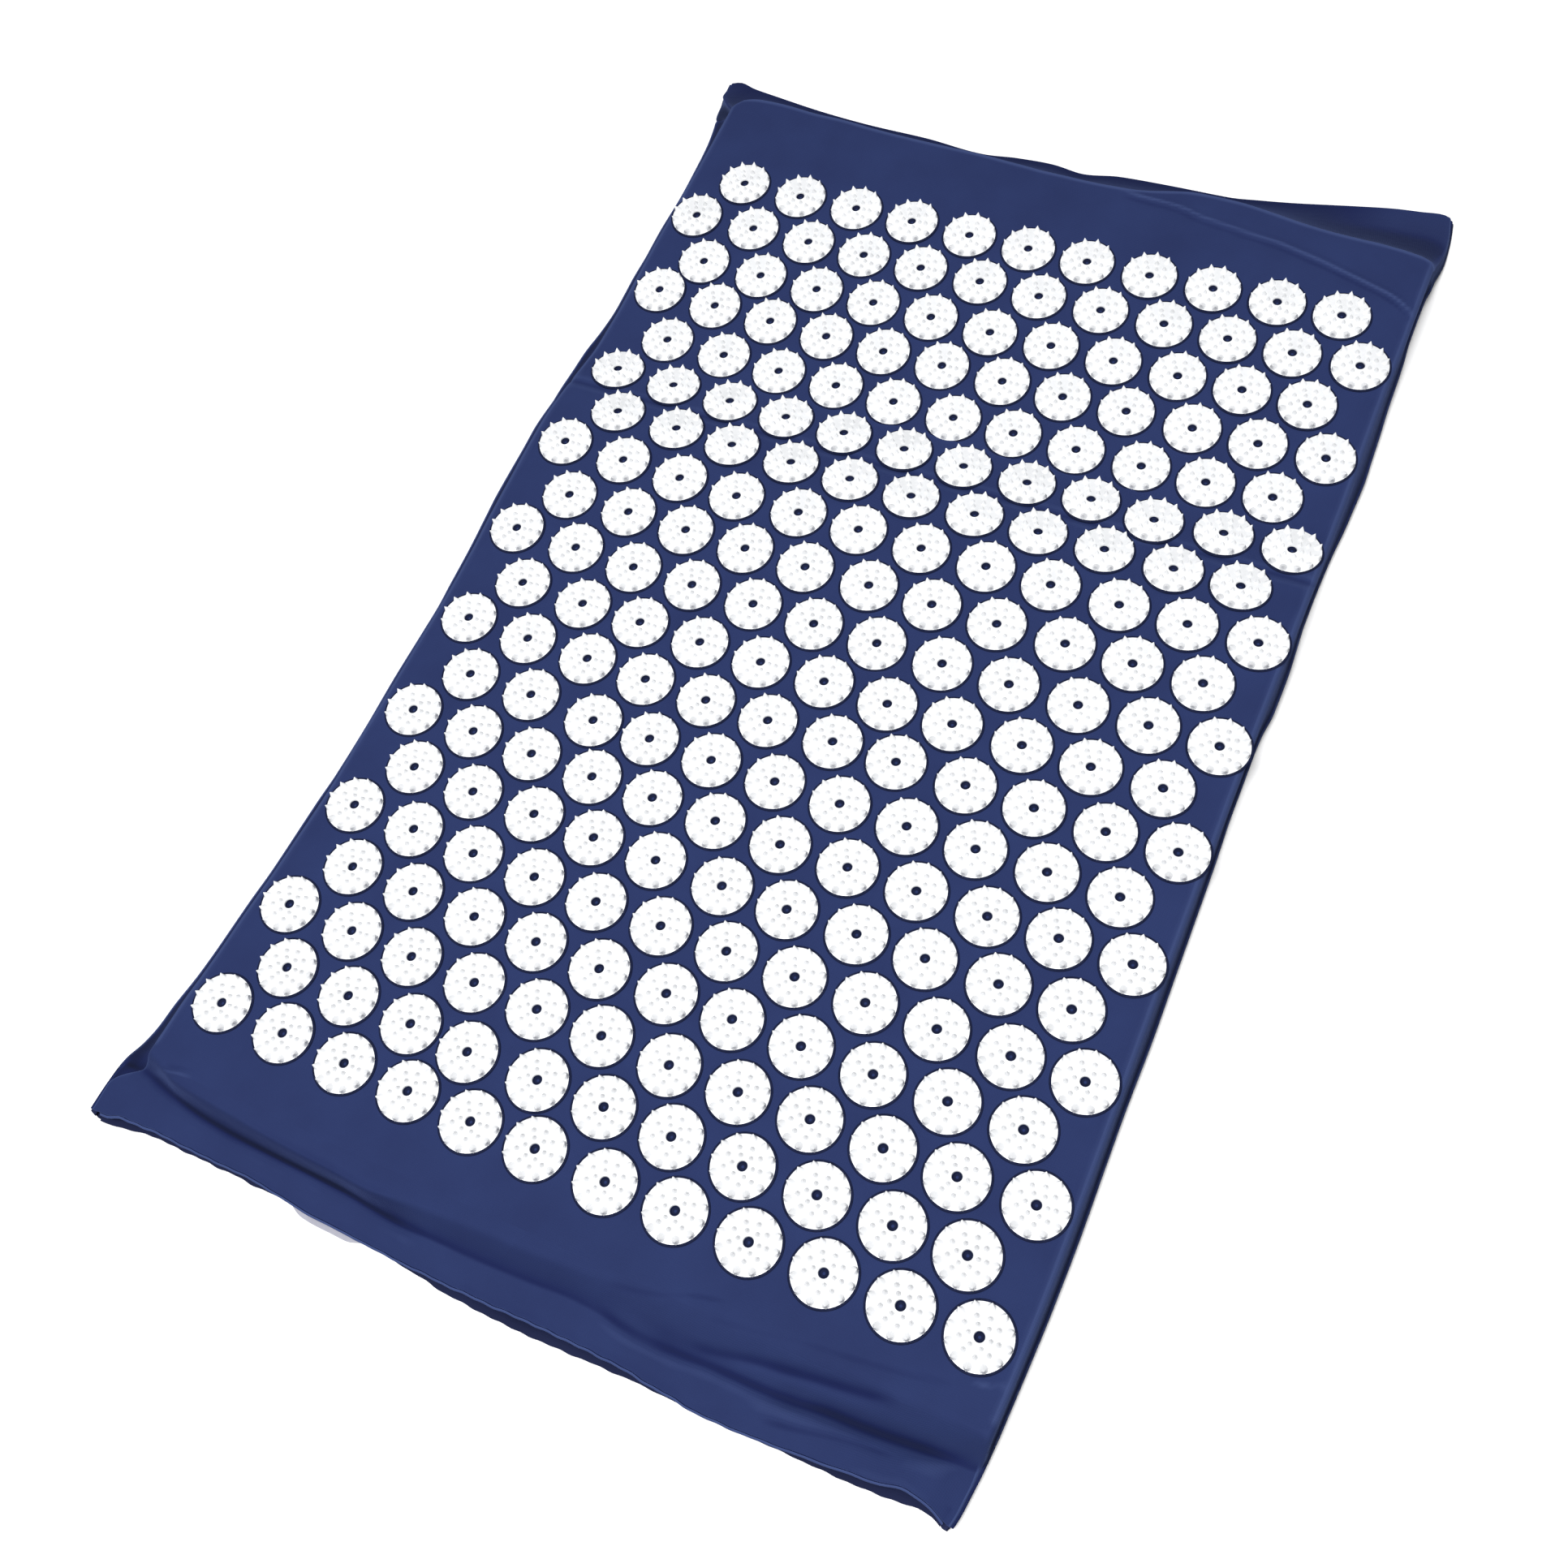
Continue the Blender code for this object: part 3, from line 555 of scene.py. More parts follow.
CORNER_RIDGE = (
    (0.03, 0.2088), (0.041, 0.2075), (0.055, 0.2069), (0.069, 0.2053), (0.079, 0.2024), (0.0943, 0.2),
    (0.1075, 0.198), (0.1228, 0.196), (0.1346, 0.1933), (0.1485, 0.1899), (0.1625, 0.1856), (0.1764, 0.1811),
    (0.1903, 0.1761), (0.206, 0.164),
)


def below(line, offset):
    return tuple((place, value - offset) for place, value in line)


def creases(x, y):
    """Wrinkles of the top face."""
    total = ridge(x, y, CORNER_RIDGE, *CORNER_RIDGE_SIZE)
    total = total + ridge(x, y, below(CORNER_RIDGE, CORNER_SHADOW), *CORNER_SHADOW_SIZE)
    for seed, (height, length) in ((SEED, LONG_WAVE), (SEED + 1, SHORT_WAVE)):
        total = total + height * waves(x, y, seed, length)
    return total


def mouth_fall(x, y):
    """How far the top face has fallen between the foam's edge and the lip, in metres."""
    foot = curve(FOOT_POINTS, x)
    foot_drop = TOP - curve(FOOT_HEIGHTS, x)
    edge = upper_edge(x)
    edge_drop = TOP - curve(UPPER_EDGE_HEIGHTS, x)
    start = curve(SLOPE_POINTS, x)
    down = ease((start - y) / (start - foot))
    out = ease((foot - y) / (foot - edge))
    return foot_drop * down + (edge_drop - foot_drop) * out


# Lines of the folds of the upper lip and the slope, (x, y), where more than one table needs them
LOW_FOLD_MIDDLE = ((0.138, -0.434), (0.152, -0.4334), (0.1735, -0.4314))
LOW_FOLD = (
    (0.071, -0.4385), (0.089, -0.4371), (0.1065, -0.437), (0.1235, -0.4362), *LOW_FOLD_MIDDLE,
    (0.186, -0.4303), (0.2, -0.4275),
)
HIGH_FOLD_END = ((0.1305, -0.4245), (0.1505, -0.422))
HIGH_FOLD = ((0.0878, -0.4315), (0.1037, -0.428), (0.1172, -0.4262), *HIGH_FOLD_END)
SHORT_CREASE = ((0.03, -0.425), (0.0479, -0.4229), (0.0721, -0.4154), (0.09, -0.411))
RIGHT_CORNER_CREASE = ((0.18, -0.4045), (0.1913, -0.4014), (0.206, -0.3967))
LEFT_CORNER_CREASE = (
    (-0.218, -0.4235), (-0.2092, -0.423), (-0.2002, -0.4212), (-0.192, -0.4197), (-0.184, -0.419),
)

# Folds of the upper lip and the slope: height, half width and line
LIP_FOLDS = (
    (-0.0012, 0.0032, ((0.03, -0.4355), (0.054, -0.439), *LOW_FOLD)),
    (-0.0012, 0.0038, ((0.11, -0.4367), *LOW_FOLD_MIDDLE, (0.194, -0.4288))),
    (-0.001, 0.003, ((0.07, -0.434), *HIGH_FOLD, (0.165, -0.42))),
    (0.0006, 0.0034, ((0.09, -0.4335), (0.12, -0.431), (0.15, -0.428), (0.18, -0.4255))),
    (0.0008, 0.0045, ((0.1, -0.4445), (0.14, -0.4425), (0.17, -0.4395), (0.195, -0.437))),
    (-0.0004, 0.0022, ((0.11, -0.448), (0.122, -0.4466), (0.156, -0.4406), (0.175, -0.439))),
    (-0.0003, 0.0022, SHORT_CREASE),
    (-0.0003, 0.0024, ((0.075, -0.4215), (0.091, -0.4192), (0.1638, -0.4089), (0.185, -0.405))),
    (0.0005, 0.0016, RIGHT_CORNER_CREASE),
    (-0.0016, 0.005, ((-0.232, -0.422), (-0.215, -0.4245), (-0.1984, -0.428), (-0.1758, -0.4315),
                      (-0.1546, -0.4332), (-0.1158, -0.4335), (-0.0826, -0.4355), (-0.05, -0.4375))),
    (0.0009, 0.0016, LEFT_CORNER_CREASE),
)

# Painted highlights (above 0) and painted shade (below 0) along lines of the upper panel: strength, half
# width and line
PAINTED_LIGHT_LINES = (
    (-0.55, 0.0062, ((-0.226, -0.4225), (-0.215, -0.4242), (-0.1984, -0.4275), (-0.1758, -0.4308),
                     (-0.1546, -0.4325), (-0.1158, -0.433), (-0.0826, -0.435), (-0.06, -0.4365))),
    (-0.35, 0.003, ((-0.2, -0.4278), (-0.1758, -0.4312), (-0.1546, -0.4328), (-0.1158, -0.4334),
                    (-0.09, -0.4348))),
    (-0.35, 0.0034, ((0.05, -0.435), (0.071, -0.4335), *HIGH_FOLD, (0.17, -0.4198))),
    (-0.2, 0.003, ((0.105, -0.428), *HIGH_FOLD_END, (0.17, -0.4198))),
    (-0.35, 0.0034, ((0.055, -0.439), *LOW_FOLD)),
    (-0.35, 0.0042, ((0.125, -0.436), *LOW_FOLD_MIDDLE, (0.19, -0.4298))),
    (-0.25, 0.0038, ((0.11, -0.447), (0.122, -0.4455), (0.156, -0.441), (0.178, -0.439))),
    (-0.25, 0.0018, SHORT_CREASE),
    (-0.2, 0.0024, ((0.07, -0.4225), (0.091, -0.4192), (0.1638, -0.4089), (0.19, -0.404))),
    (0.5, 0.0011, RIGHT_CORNER_CREASE),
    (0.4, 0.0012, LEFT_CORNER_CREASE),
)
# Painted highlight and painted shade: on the corner ridge and below it, along the rim, on the slope off the
# foam, on the side walls and on the far flap
CORNER_LIGHT_SHADE_SHARES = (0.4, -0.2)
RIM_HIGHLIGHT_SHARE = 0.55
SLOPE_HIGHLIGHT_CUT_SHARE = 0.75
SLOPE_SHADE_SHARES = (
    (-0.236, 0.0), (-0.2, 0.1), (-0.15, 0.15), (-0.1, 0.25), (-0.05, 0.32), (0.0, 0.32), (0.03, 0.25),
    (0.06, 0.1), (0.09, 0.05), (0.2, 0.05),
)
WALL_SHADE_SHARES = (1.8, 1.8, 1.8, 1.8, 1.7, 1.5, 1.1, 0.8, 0.4)
FLAP_SHADE_SHARES = (2.0, 1.1)
FLAP_LIGHT_SHARE = 1.0
SLOPE_FADE_IN_SHARE = 0.3
SLOPE_END_SHARE = 1.5
SLOPE_FADE_OUT_SHARE = 0.5
FLAP_START_SHARE = 0.6
FLAP_FADE_IN_SHARE = 0.1
FLAP_LIGHT_START_SHARE = 0.4
FLAP_LIGHT_FADE_SHARE = 0.25
CORNER_LINE_PLACE_SHARE = 0.8


def lip_creases(x, y):
    """Folds of the upper lip and of the slope above it."""
    total = np.zeros_like(np.asarray(x, float) + np.asarray(y, float))
    for height, width, line in LIP_FOLDS:
        total = total + ridge(x, y, line, height, width)
    near = ease((curve(SLOPE_POINTS, x) - y) / LIP_WAVE_FADE)
    height, length = LIP_WAVE
    return total + near * height * waves(x, y, SEED + 2, length)


def top_height(x, y):
    return TOP + lie(y) + creases(x, y) + lip_creases(x, y) - mouth_fall(x, y)


# Meshes

def unit(vectors):
    length = np.linalg.norm(vectors, axis=-1, keepdims=True)
    return vectors / np.maximum(length, TINY_LENGTH)


def grid_normals(grid):
    """Unit normals of a grid of points; rows run towards +y and columns towards +x."""
    return unit(np.cross(np.gradient(grid, axis=1), np.gradient(grid, axis=0)))


def grid_lengths(grid):
    """Length along each row and along each column of a grid, for the cloth's threads."""
    across = np.linalg.norm(np.diff(grid, axis=1), axis=2)
    along = np.linalg.norm(np.diff(grid, axis=0), axis=2)
    across = np.concatenate([np.zeros((len(grid), 1)), np.cumsum(across, axis=1)], axis=1)
    along = np.concatenate([np.zeros((1, grid.shape[1])), np.cumsum(along, axis=0)], axis=0)
    return np.stack([across, along], axis=2)


def bends(grid, normals):
    """How sharply a grid bends: above 0 on its outward edges, below 0 in its folds, within 1."""
    total = np.zeros(grid.shape[:2])
    for axis in (0, 1):
        step = np.gradient(grid, axis=axis)
        turn = np.gradient(normals, axis=axis)
        area = np.maximum(np.sum(step * step, axis=2), TINY_AREA)
        total = total + np.sum(turn * step, axis=2) / area
    return np.tanh(total * BEND_RADIUS)


def shell_faces(rows, columns):
    """Quads of a closed shell: an outer grid, an inner grid and the four rims between them."""
    index = np.arange(rows * columns).reshape(rows, columns)
    inner = index + rows * columns
    quads = [(index[:-1, :-1], index[:-1, 1:], index[1:, 1:], index[1:, :-1])]
    quads.append((inner[:-1, :-1], inner[1:, :-1], inner[1:, 1:], inner[:-1, 1:]))
    quads.append((index[0, :-1], inner[0, :-1], inner[0, 1:], index[0, 1:]))
    quads.append((index[-1, 1:], inner[-1, 1:], inner[-1, :-1], index[-1, :-1]))
    quads.append((index[1:, 0], inner[1:, 0], inner[:-1, 0], index[:-1, 0]))
    quads.append((index[:-1, -1], inner[:-1, -1], inner[1:, -1], index[1:, -1]))
    return [np.stack([corner.ravel() for corner in quad], axis=1) for quad in quads]


def make_object(name, verts, faces, material, smooth=True):
    """An object in the row frame from points in the mat's own lines."""
    mesh = bpy.data.meshes.new(name)
    placed = np.asarray(verts, float) + np.array([FOLD_X, FOLD_Y, 0.0])
    mesh.from_pydata(placed.tolist(), [], [list(map(int, face)) for face in faces])
    mesh.materials.append(material)
    mesh.polygons.foreach_set("use_smooth", [smooth] * len(mesh.polygons))
    obj = bpy.data.objects.new(name, mesh)
    bpy.context.scene.collection.objects.link(obj)
    return obj


def shell(name, outer, inner, material, normals=None, crisp=False, painted_tones=None):
    """A closed shell between two grids, shaded smoothly over each face and crisply at its rims."""
    rows, columns, _ = outer.shape
    groups = shell_faces(rows, columns)
    faces = np.concatenate(groups)
    verts = np.concatenate([outer.reshape(-1, 3), inner.reshape(-1, 3)])
    obj = make_object(name, verts, faces, material)
    outer_normals = grid_normals(outer) if normals is None else normals
    inner_normals = -grid_normals(inner) if normals is None else -normals
    point_normals = np.concatenate([outer_normals.reshape(-1, 3), inner_normals.reshape(-1, 3)])
    corners = point_normals[faces].copy()
    flat = unit(np.cross(verts[faces[:, 2]] - verts[faces[:, 0]], verts[faces[:, 3]] - verts[faces[:, 1]]))
    rim_start = len(groups[0]) + len(groups[1])
    first_crisp = 0 if crisp else rim_start
    corners[first_crisp:] = flat[first_crisp:, None, :]
    obj.data.normals_split_custom_set(corners.reshape(-1, 3).tolist())
    lengths = grid_lengths(outer).reshape(-1, 2)
    threads = np.concatenate([lengths, lengths])
    layer = obj.data.uv_layers.new(name="threads")
    layer.data.foreach_set("uv", threads[faces].reshape(-1).astype(np.float32))
    # Painted light for the cotton: a painted highlight where the grid bends outwards and painted shade in
    # its folds, or the given painted tones on the outer face
    bend = bends(outer, outer_normals)
    painted_tone = bend if painted_tones is None else painted_tones
    painted_light = np.concatenate([painted_tone.reshape(-1), -bend.reshape(-1)]).astype(np.float32)
    obj.data.attributes.new("painted_light", "FLOAT", "POINT").data.foreach_set("value", painted_light)
    return obj


def cloth(name, outer, material, thickness=CLOTH, upper=True, normals=None, painted_tones=None):
    """A sheet of cloth whose outer face is the given grid."""
    out = grid_normals(outer) if normals is None else normals
    inner = outer - out * thickness
    if upper:
        return shell(name, outer, inner, material, out, painted_tones=painted_tones)
    return shell(name, outer + out * thickness, outer, material, out)


# Materials

def node_material(name):
    material = bpy.data.materials.new(name)
    material.use_nodes = True
    tree = material.node_tree
    shader = tree.nodes["Principled BSDF"]
    return material, tree, shader


def set_inputs(node, **inputs):
    for key, value in inputs.items():
        node.inputs[key.replace("_", " ")].default_value = value


def add_node(tree, kind, **inputs):
    node = tree.nodes.new(kind)
    set_inputs(node, **inputs)
    return node


def mix_colours(tree, factor, first, second):
    """Goes from the first colour, which may be linked, to the second one."""
    mix = tree.nodes.new("ShaderNodeMix")
    mix.data_type = "RGBA"
    tree.links.new(factor, mix.inputs[0])
    if isinstance(first, tuple):
        mix.inputs[MIX_FIRST].default_value = (*first, 1.0)
    else:
        tree.links.new(first, mix.inputs[MIX_FIRST])
    mix.inputs[MIX_SECOND].default_value = (*second, 1.0)
    return mix.outputs[MIX_RESULT]


def multiply(tree, first, second):
    node = tree.nodes.new("ShaderNodeMath")
    node.operation = "MULTIPLY"
    tree.links.new(first, node.inputs[0])
    tree.links.new(second, node.inputs[1])
    return node.outputs[0]


def texture_coords(tree, kind):
    return tree.nodes.new("ShaderNodeTexCoord").outputs[kind]


def spread(tree, value, low, high):
    """Maps a texture's middle range onto 0 to 1."""
    ramp = add_node(tree, "ShaderNodeMapRange", From_Min=low, From_Max=high)
    tree.links.new(value, ramp.inputs["Value"])
    return ramp.outputs["Result"]


def noise(tree, coords, scale, detail=3.0):
    node = add_node(tree, "ShaderNodeTexNoise", Scale=scale, Detail=detail)
    tree.links.new(coords, node.inputs["Vector"])
    return node.outputs["Fac"]


def bump(tree, height, shader, strength, distance, before=None):
    node = add_node(tree, "ShaderNodeBump", Strength=strength, Distance=distance)
    tree.links.new(height, node.inputs["Height"])
    if before is not None:
        tree.links.new(before, node.inputs["Normal"])
    tree.links.new(node.outputs["Normal"], shader.inputs["Normal"])
    return node.outputs["Normal"]


def weave(tree, coords, scale):
    """Height of a plain weave: two crossing sets of threads."""
    heights = []
    for direction in ("X", "Y"):
        wave = add_node(tree, "ShaderNodeTexWave", Scale=scale, Distortion=0.6, Detail=1.0)
        wave.bands_direction = direction
        tree.links.new(coords, wave.inputs["Vector"])
        heights.append(wave.outputs["Fac"])
    return multiply(tree, *heights)


def cotton(name, dark, light, sheen=0.3):
    """Cotton with painted light: a painted highlight where it bends outwards and painted shade down in its
    folds.
    """
    material, tree, shader = node_material(name)
    coords = texture_coords(tree, "UV")
    patches = spread(tree, noise(tree, coords, scale=28.0, detail=5.0), low=0.3, high=0.7)
    colour = mix_colours(tree, patches, dark, light)
    # The painted-light attribute mixes in a painted highlight, painted shade and deep painted shade
    painted_light = tree.nodes.new("ShaderNodeAttribute")
    painted_light.attribute_name = "painted_light"
    for base, shares, start, full in (
        (light, HIGHLIGHT_SHARES, PAINTED_TONE_START, PAINTED_TONE_FULL), (dark, FOLD_SHADE_SHARES, -PAINTED_TONE_START, -PAINTED_TONE_FULL),
        (dark, DEEP_SHADE_SHARES, -PAINTED_TONE_FULL, -PAINTED_TONE_DEEP),
    ):
        painted_tone = tuple(value * share for value, share in zip(base, shares))
        colour = mix_colours(tree, spread(tree, painted_light.outputs["Fac"], start, full), colour, painted_tone)
    tree.links.new(colour, shader.inputs["Base Color"])
    set_inputs(shader, Roughness=0.85, Specular_IOR_Level=0.15)
    set_inputs(shader, Sheen_Weight=sheen, Sheen_Roughness=0.45, Sheen_Tint=(*SHEEN_COLOUR, 1.0))
    first = bump(tree, noise(tree, coords, scale=260.0, detail=4.0), shader, NAP_STRENGTH_SHARE, NAP_RELIEF)
    bump(tree, weave(tree, coords, scale=320.0), shader, THREAD_STRENGTH_SHARE, THREAD_RELIEF, first)
    return material


def disc_material():
    material, tree, shader = node_material("disc plastic")
    coords = texture_coords(tree, "Object")
    tint = spread(tree, noise(tree, coords, scale=60.0, detail=4.0), low=0.35, high=0.65)
    colour = mix_colours(tree, tint, *DISC_COLOURS)
    tree.links.new(colour, shader.inputs["Base Color"])
    set_inputs(shader, Roughness=0.32)
    bump(tree, noise(tree, coords, scale=900.0), shader, DISC_STRENGTH_SHARE, DISC_RELIEF)
    return material


# Dark glue colour, which also paints the shade down in the holes and the contact shadow round the plates
def glue_and_shade_material():
    material, tree, shader = node_material("dark glue")
    coords = texture_coords(tree, "Object")
    tint = spread(tree, noise(tree, coords, scale=400.0), low=0.3, high=0.7)
    colour = mix_colours(tree, tint, *GLUE_AND_SHADE_COLOURS)
    tree.links.new(colour, shader.inputs["Base Color"])
    set_inputs(shader, Roughness=0.8, Specular_IOR_Level=0.1)
    return material


def voronoi(tree, coords, scale, low, high):
    """Height of small cells, from their middles outwards."""
    cells = add_node(tree, "ShaderNodeTexVoronoi", Scale=scale)
    tree.links.new(coords, cells.inputs["Vector"])
    return spread(tree, cells.outputs["Distance"], low, high)


def foam_material():
    material, tree, shader = node_material("foam")
    depth = voronoi(tree, texture_coords(tree, "Object"), scale=900.0, low=0.1, high=0.7)
    colour = mix_colours(tree, depth, *FOAM_COLOURS)
    tree.links.new(colour, shader.inputs["Base Color"])
    set_inputs(shader, Roughness=0.95)
    bump(tree, depth, shader, PORE_STRENGTH_SHARE, PORE_RELIEF)
    return material


def tape_material(name, colour, light, scale):
    material, tree, shader = node_material(name)
    height = voronoi(tree, texture_coords(tree, "UV"), scale, low=0.0, high=0.6)
    tree.links.new(mix_colours(tree, height, light, colour), shader.inputs["Base Color"])
    set_inputs(shader, Roughness=0.6)
    bump(tree, height, shader, TUFT_STRENGTH_SHARE, TUFT_RELIEF)
    return material


def label_material():
    material, tree, shader = node_material("label satin")
    coords = texture_coords(tree, "UV")
    shade = spread(tree, noise(tree, coords, scale=120.0), low=0.3, high=0.7)
    colour = mix_colours(tree, shade, *LABEL_COLOURS)
    tree.links.new(colour, shader.inputs["Base Color"])
    set_inputs(shader, Roughness=0.45)
    bump(tree, weave(tree, coords, scale=600.0), shader, SATIN_STRENGTH_SHARE, SATIN_RELIEF)
    return material


COTTON = cotton("navy cotton", *UPPER_COLOURS)
# Darker copy of the navy cotton, painted shade for the lower panel, its hem and the seam plies
SHADED_LOWER_COTTON = cotton("navy cotton, lower panel", *LOWER_SHADED_COLOURS, sheen=0.1)
HEM_COTTON = cotton("navy cotton, hems", *HEM_COLOURS, sheen=0.4)
DISC_PLASTIC = disc_material()
GLUE_AND_SHADE = glue_and_shade_material()
FOAM = foam_material()
HOOKS = tape_material("hook nylon", *HOOK_COLOURS, scale=700.0)
LOOPS = tape_material("loop nylon", *LOOP_COLOURS, scale=420.0)
LABEL = label_material()


# Upper panel

def bent_wall(seam, edge, out):
    """Points of a side wall from its seam up to the shoulder, as (x, z)."""
    first, last, first_pull, last_pull = cubic_shares(np.linspace(0.0, 1.0, WALL_STEPS)[:, None])
    seam = np.array(seam)
    edge = np.array(edge)
    reach = np.linalg.norm(edge - seam)
    pull_out, pull_up = WALL_PULL_SHARES
    seam_pull = np.array([-out * pull_out, pull_up]) * reach
    edge_pull = np.array([0.0, 1.0]) * reach
    return first * seam + last * edge + first_pull * seam_pull + last_pull * edge_pull


def upper_section(left_y, right_y, drop, seam_z, y_of, z_of):
    """Outer face of the upper panel at one row, from its left seam to its right seam."""
    left_seam = float(curve(LEFT_SEAM_POINTS, left_y))
    right_seam = float(curve(RIGHT_SEAM_POINTS, right_y))
    left_edge = lerp(float(curve(LEFT_EDGE_POINTS, left_y)), left_seam + FLAT_EDGE_IN, drop)
    right_edge = lerp(float(curve(RIGHT_EDGE_POINTS, right_y)), right_seam - FLAT_EDGE_IN, drop)
    shoulder = lerp(SHOULDER, FLAT_SHOULDER, drop)
    xs = np.linspace(left_edge + shoulder, right_edge - shoulder, round(2 * EDGE / STEP_X))
    top = np.stack([xs, y_of(xs), z_of(xs, y_of(xs))], axis=1)
    turn = np.linspace(0.0, math.pi / 2, ARC_STEPS + 1)[:-1]
    sides = []
    for seam, edge, end, out in ((left_seam, left_edge, 0, -1.0), (right_seam, right_edge, -1, 1.0)):
        high = top[end, 2]
        arc_x = edge - out * shoulder * (1 - np.cos(turn))
        arc_z = high - shoulder * (1 - np.sin(turn))
        wall = bent_wall((seam, seam_z), (edge, high - shoulder), out)[:-1]
        curl_x = seam - out * np.array(SEAM_TURN_IN)
        curl_z = seam_z - np.array(SEAM_TURN_DOWN)
        x = np.concatenate([curl_x, wall[:, 0], arc_x])
        z = np.concatenate([curl_z, wall[:, 1], arc_z])
        side = np.stack([x, y_of(x), z], axis=1)
        sides.append(side if out < 0 else side[::-1])
    return np.concatenate([sides[0], top, sides[1]])


def level(y):
    return lambda x: np.full(np.shape(x), float(y))


def mouth_drop(y):
    return float(ease((FOAM_NEAR - y) / MOUTH_DROP_LENGTH))


def body_section(y):
    drop = mouth_drop(y)
    seam_z = lerp(SEAM_Z + max(0.0, float(lie(y))), LIP_SEAM_Z, drop)
    return upper_section(y, y, drop, seam_z, level(y), top_height)


def lip_section(share):
    """A row of the upper lip, between the hinge line and the wavy edge."""
    y_mid = lerp(HINGE_Y, LIP_END_Y, share)
    drop = mouth_drop(y_mid)
    seam_z = lerp(SEAM_Z, LIP_SEAM_Z, drop)

    def y_of(x):
        return lerp(HINGE_Y, upper_edge(x), share)

    return upper_section(y_mid, y_mid, drop, seam_z, y_of, top_height)


def end_body_section(share):
    """A row of the top face between the last straight row and the wavy far rim."""
    y_mid = lerp(END_ZONE_Y, FOAM_FAR, share)

    def y_of(x):
        return lerp(END_ZONE_Y, curve(RIM_POINTS, x), share)

    return upper_section(y_mid, y_mid, 0.0, SEAM_Z + FAR_RAISE, y_of, top_height)


def steps_to_one(count):
    """Even steps from 0 to 1 without the first one."""
    return np.linspace(0.0, 1.0, count)[1:]


def flap_rows():
    """Shares of the far flap's rows: first round the rim, then down the slope."""
    rows = [("rim", share) for share in steps_to_one(RIM_ROWS)]
    return rows + [("slope", share) for share in steps_to_one(FLAP_ROWS)]


def flap_point(kind, share, x):
    """y and z of the far flap at x."""
    rim = curve(RIM_POINTS, x)
    high = top_height(x, rim)
    edge = curve(END_EDGE_POINTS, x)
    if kind == "rim":
        turn = RIM_TURN * share
        return rim + RIM_RADIUS * math.sin(turn), high - RIM_RADIUS * (1 - math.cos(turn))
    start_y = rim + RIM_RADIUS * math.sin(RIM_TURN)
    start_z = high - RIM_RADIUS * (1 - math.cos(RIM_TURN))
    first, last, first_pull, last_pull = cubic_shares(share)
    y = first * start_y + last * edge + (first_pull * math.cos(RIM_TURN) + last_pull) * FLAP_PULL
    z = first * start_z + last * END_Z - first_pull * math.sin(RIM_TURN) * FLAP_PULL
    return y, z


def flap_section(kind, share):
    travel = 0.0 if kind == "rim" else share
    drop = float(ease(travel / FLAP_DROP_SHARE))
    seam_z = lerp(SEAM_Z + FAR_RAISE, END_Z * FLAP_SEAM_SHARE, drop)

    def y_of(x):
        return flap_point(kind, share, x)[0]

    def z_of(x, _):
        return flap_point(kind, share, x)[1]

    left_y = lerp(FOAM_FAR, FLAP_SEAM_Y, travel)
    right_y = float(y_of(EDGE)) if kind == "slope" else FOAM_FAR
    return upper_section(left_y, max(right_y, FOAM_FAR), drop, seam_z, y_of, z_of)


def body_lines(start):
    """Rows of the body from start to the end zone, close together at the fold."""
    near = lines_between(start, -FOLD_ZONE, STEP_Y)
    fold = lines_between(-FOLD_ZONE, FOLD_ZONE, STEP_FOLD)[1:]
    far = lines_between(FOLD_ZONE, FAR_ZONE_Y, STEP_Y)[1:]
    end = lines_between(FAR_ZONE_Y, END_ZONE_Y, STEP_FAR)[1:]
    return np.concatenate([near, fold, far, end])


def slope_painted_shade(x, y):
    """Painted shade on the slope off the foam, by its place between start and foot."""
    start = curve(SLOPE_POINTS, x)
    travel = (start - y) / (start - curve(FOOT_POINTS, x))
    fade_out = ease((SLOPE_END_SHARE - travel) / SLOPE_FADE_OUT_SHARE)
    return -curve(SLOPE_SHADE_SHARES, x) * ease(travel / SLOPE_FADE_IN_SHARE) * fade_out


def flap_painted_light(x, y):
    """Painted shade on the far flap, darkest under the rim, with a painted highlight at its right end."""
    rim = curve(RIM_POINTS, x) + RIM_RADIUS * FLAP_START_SHARE
    travel = (y - rim) / (curve(END_EDGE_POINTS, x) - rim)
    dark = ease(travel / FLAP_FADE_IN_SHARE) * lerp(*FLAP_SHADE_SHARES, np.clip(travel, 0.0, 1.0))
    far_down = ease((travel - FLAP_LIGHT_START_SHARE) / FLAP_LIGHT_FADE_SHARE)
    bright = ease((x - FLAP_LIGHT_X) / FLAP_LIGHT_FADE) * far_down
    return FLAP_LIGHT_SHARE * bright - dark


